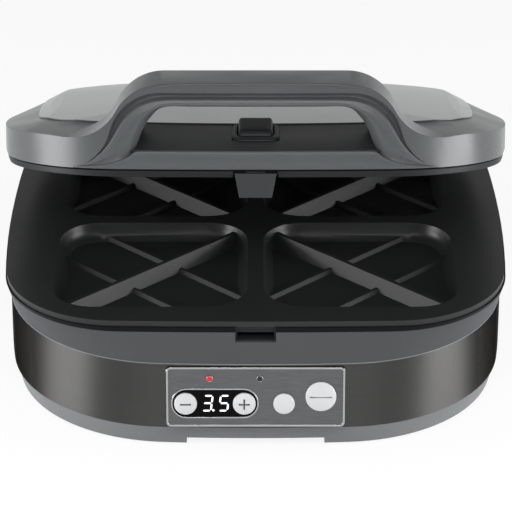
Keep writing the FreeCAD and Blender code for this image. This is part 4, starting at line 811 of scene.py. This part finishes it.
def seen_share(tree, share):
    """A share for rays from the camera and from mirrors and glass; nought for the rest."""
    path = tree.nodes.new("ShaderNodeLightPath")
    total = path.outputs["Is Camera Ray"]
    for other in ("Is Glossy Ray", "Is Transmission Ray"):
        node = tree.nodes.new("ShaderNodeMath")
        node.operation = "MAXIMUM"
        tree.links.new(total, node.inputs[0])
        tree.links.new(path.outputs[other], node.inputs[1])
        total = node.outputs[0]
    node = tree.nodes.new("ShaderNodeMath")
    node.operation = "MULTIPLY"
    tree.links.new(total, node.inputs[0])
    node.inputs[1].default_value = share
    return node.outputs[0]


def floor():
    bm = bmesh.new()
    bmesh.ops.create_grid(bm, x_segments=1, y_segments=1, size=FLOOR_SIZE)
    mesh = bpy.data.meshes.new("floor")
    bm.to_mesh(mesh)
    bm.free()
    obj = bpy.data.objects.new("floor", mesh)
    scene.collection.objects.link(obj)
    mat, tree, out = new_tree("floor_white")
    matte = tree.nodes.new("ShaderNodeBsdfDiffuse")
    matte.inputs["Color"].default_value = (FLOOR_GREY, FLOOR_GREY, FLOOR_GREY, 1.0)
    glow = tree.nodes.new("ShaderNodeEmission")
    blend = tree.nodes.new("ShaderNodeMixShader")
    tree.links.new(seen_share(tree, FLOOR_SHOWN), blend.inputs["Fac"])
    tree.links.new(matte.outputs["BSDF"], blend.inputs[1])
    tree.links.new(glow.outputs["Emission"], blend.inputs[2])
    tree.links.new(blend.outputs["Shader"], out.inputs["Surface"])
    mesh.materials.append(mat)


def surround():
    """Studio walls: a little brighter at both sides, behind the object and above it than in front."""
    world = bpy.data.worlds.new("surround")
    scene.world = world
    world.use_nodes = True
    tree = world.node_tree
    tree.nodes.clear()
    out = tree.nodes.new("ShaderNodeOutputWorld")
    back = tree.nodes.new("ShaderNodeBackground")
    coords = tree.nodes.new("ShaderNodeTexCoord").outputs["Generated"]
    split = tree.nodes.new("ShaderNodeSeparateXYZ")
    tree.links.new(coords, split.inputs["Vector"])

    def math_node(kind, a, b):
        node = tree.nodes.new("ShaderNodeMath")
        node.operation = kind
        for slot_index, value in enumerate((a, b)):
            if isinstance(value, float):
                node.inputs[slot_index].default_value = value
            else:
                tree.links.new(value, node.inputs[slot_index])
        return node.outputs[0]

    across = math_node("POWER", math_node("ABSOLUTE", split.outputs["X"], 0.0), 2.0)
    sides = math_node("MULTIPLY", across, WALL_SIDES)
    behind = math_node("MULTIPLY", math_node("MAXIMUM", split.outputs["Y"], 0.0), WALL_BEHIND)
    overhead = math_node("MULTIPLY", math_node("MAXIMUM", split.outputs["Z"], 0.0), WALL_ABOVE)
    total = math_node("ADD", math_node("ADD", sides, behind), math_node("ADD", overhead, WALL_ALL))
    tree.links.new(total, back.inputs["Strength"])
    tree.links.new(back.outputs["Background"], out.inputs["Surface"])
    back.inputs["Color"].default_value = (1.0, 1.0, 1.0, 1.0)


def lamp(name, place, aim, width, height, power):
    data = bpy.data.lights.new(name, "AREA")
    data.shape = "RECTANGLE"
    data.size = width
    data.size_y = height
    data.energy = power
    obj = bpy.data.objects.new(name, data)
    scene.collection.objects.link(obj)
    obj.location = place
    obj.rotation_euler = (Vector(aim) - Vector(place)).to_track_quat("-Z", "Y").to_euler()


floor()
surround()
lamp("key", place=(0.0, -1.00, 0.95), aim=(0.0, 0.0, 0.1), width=1.2, height=0.3, power=8.6)
for side in (-1, 1):
    lamp("side_box", place=(side * 1.0, -0.40, 0.42), aim=SIDE_AIM, width=0.75, height=0.8, power=2.5)
    lamp("side_strip", place=(side * 0.95, -0.36, 0.18), aim=SIDE_AIM, width=0.58, height=0.34, power=8.2)
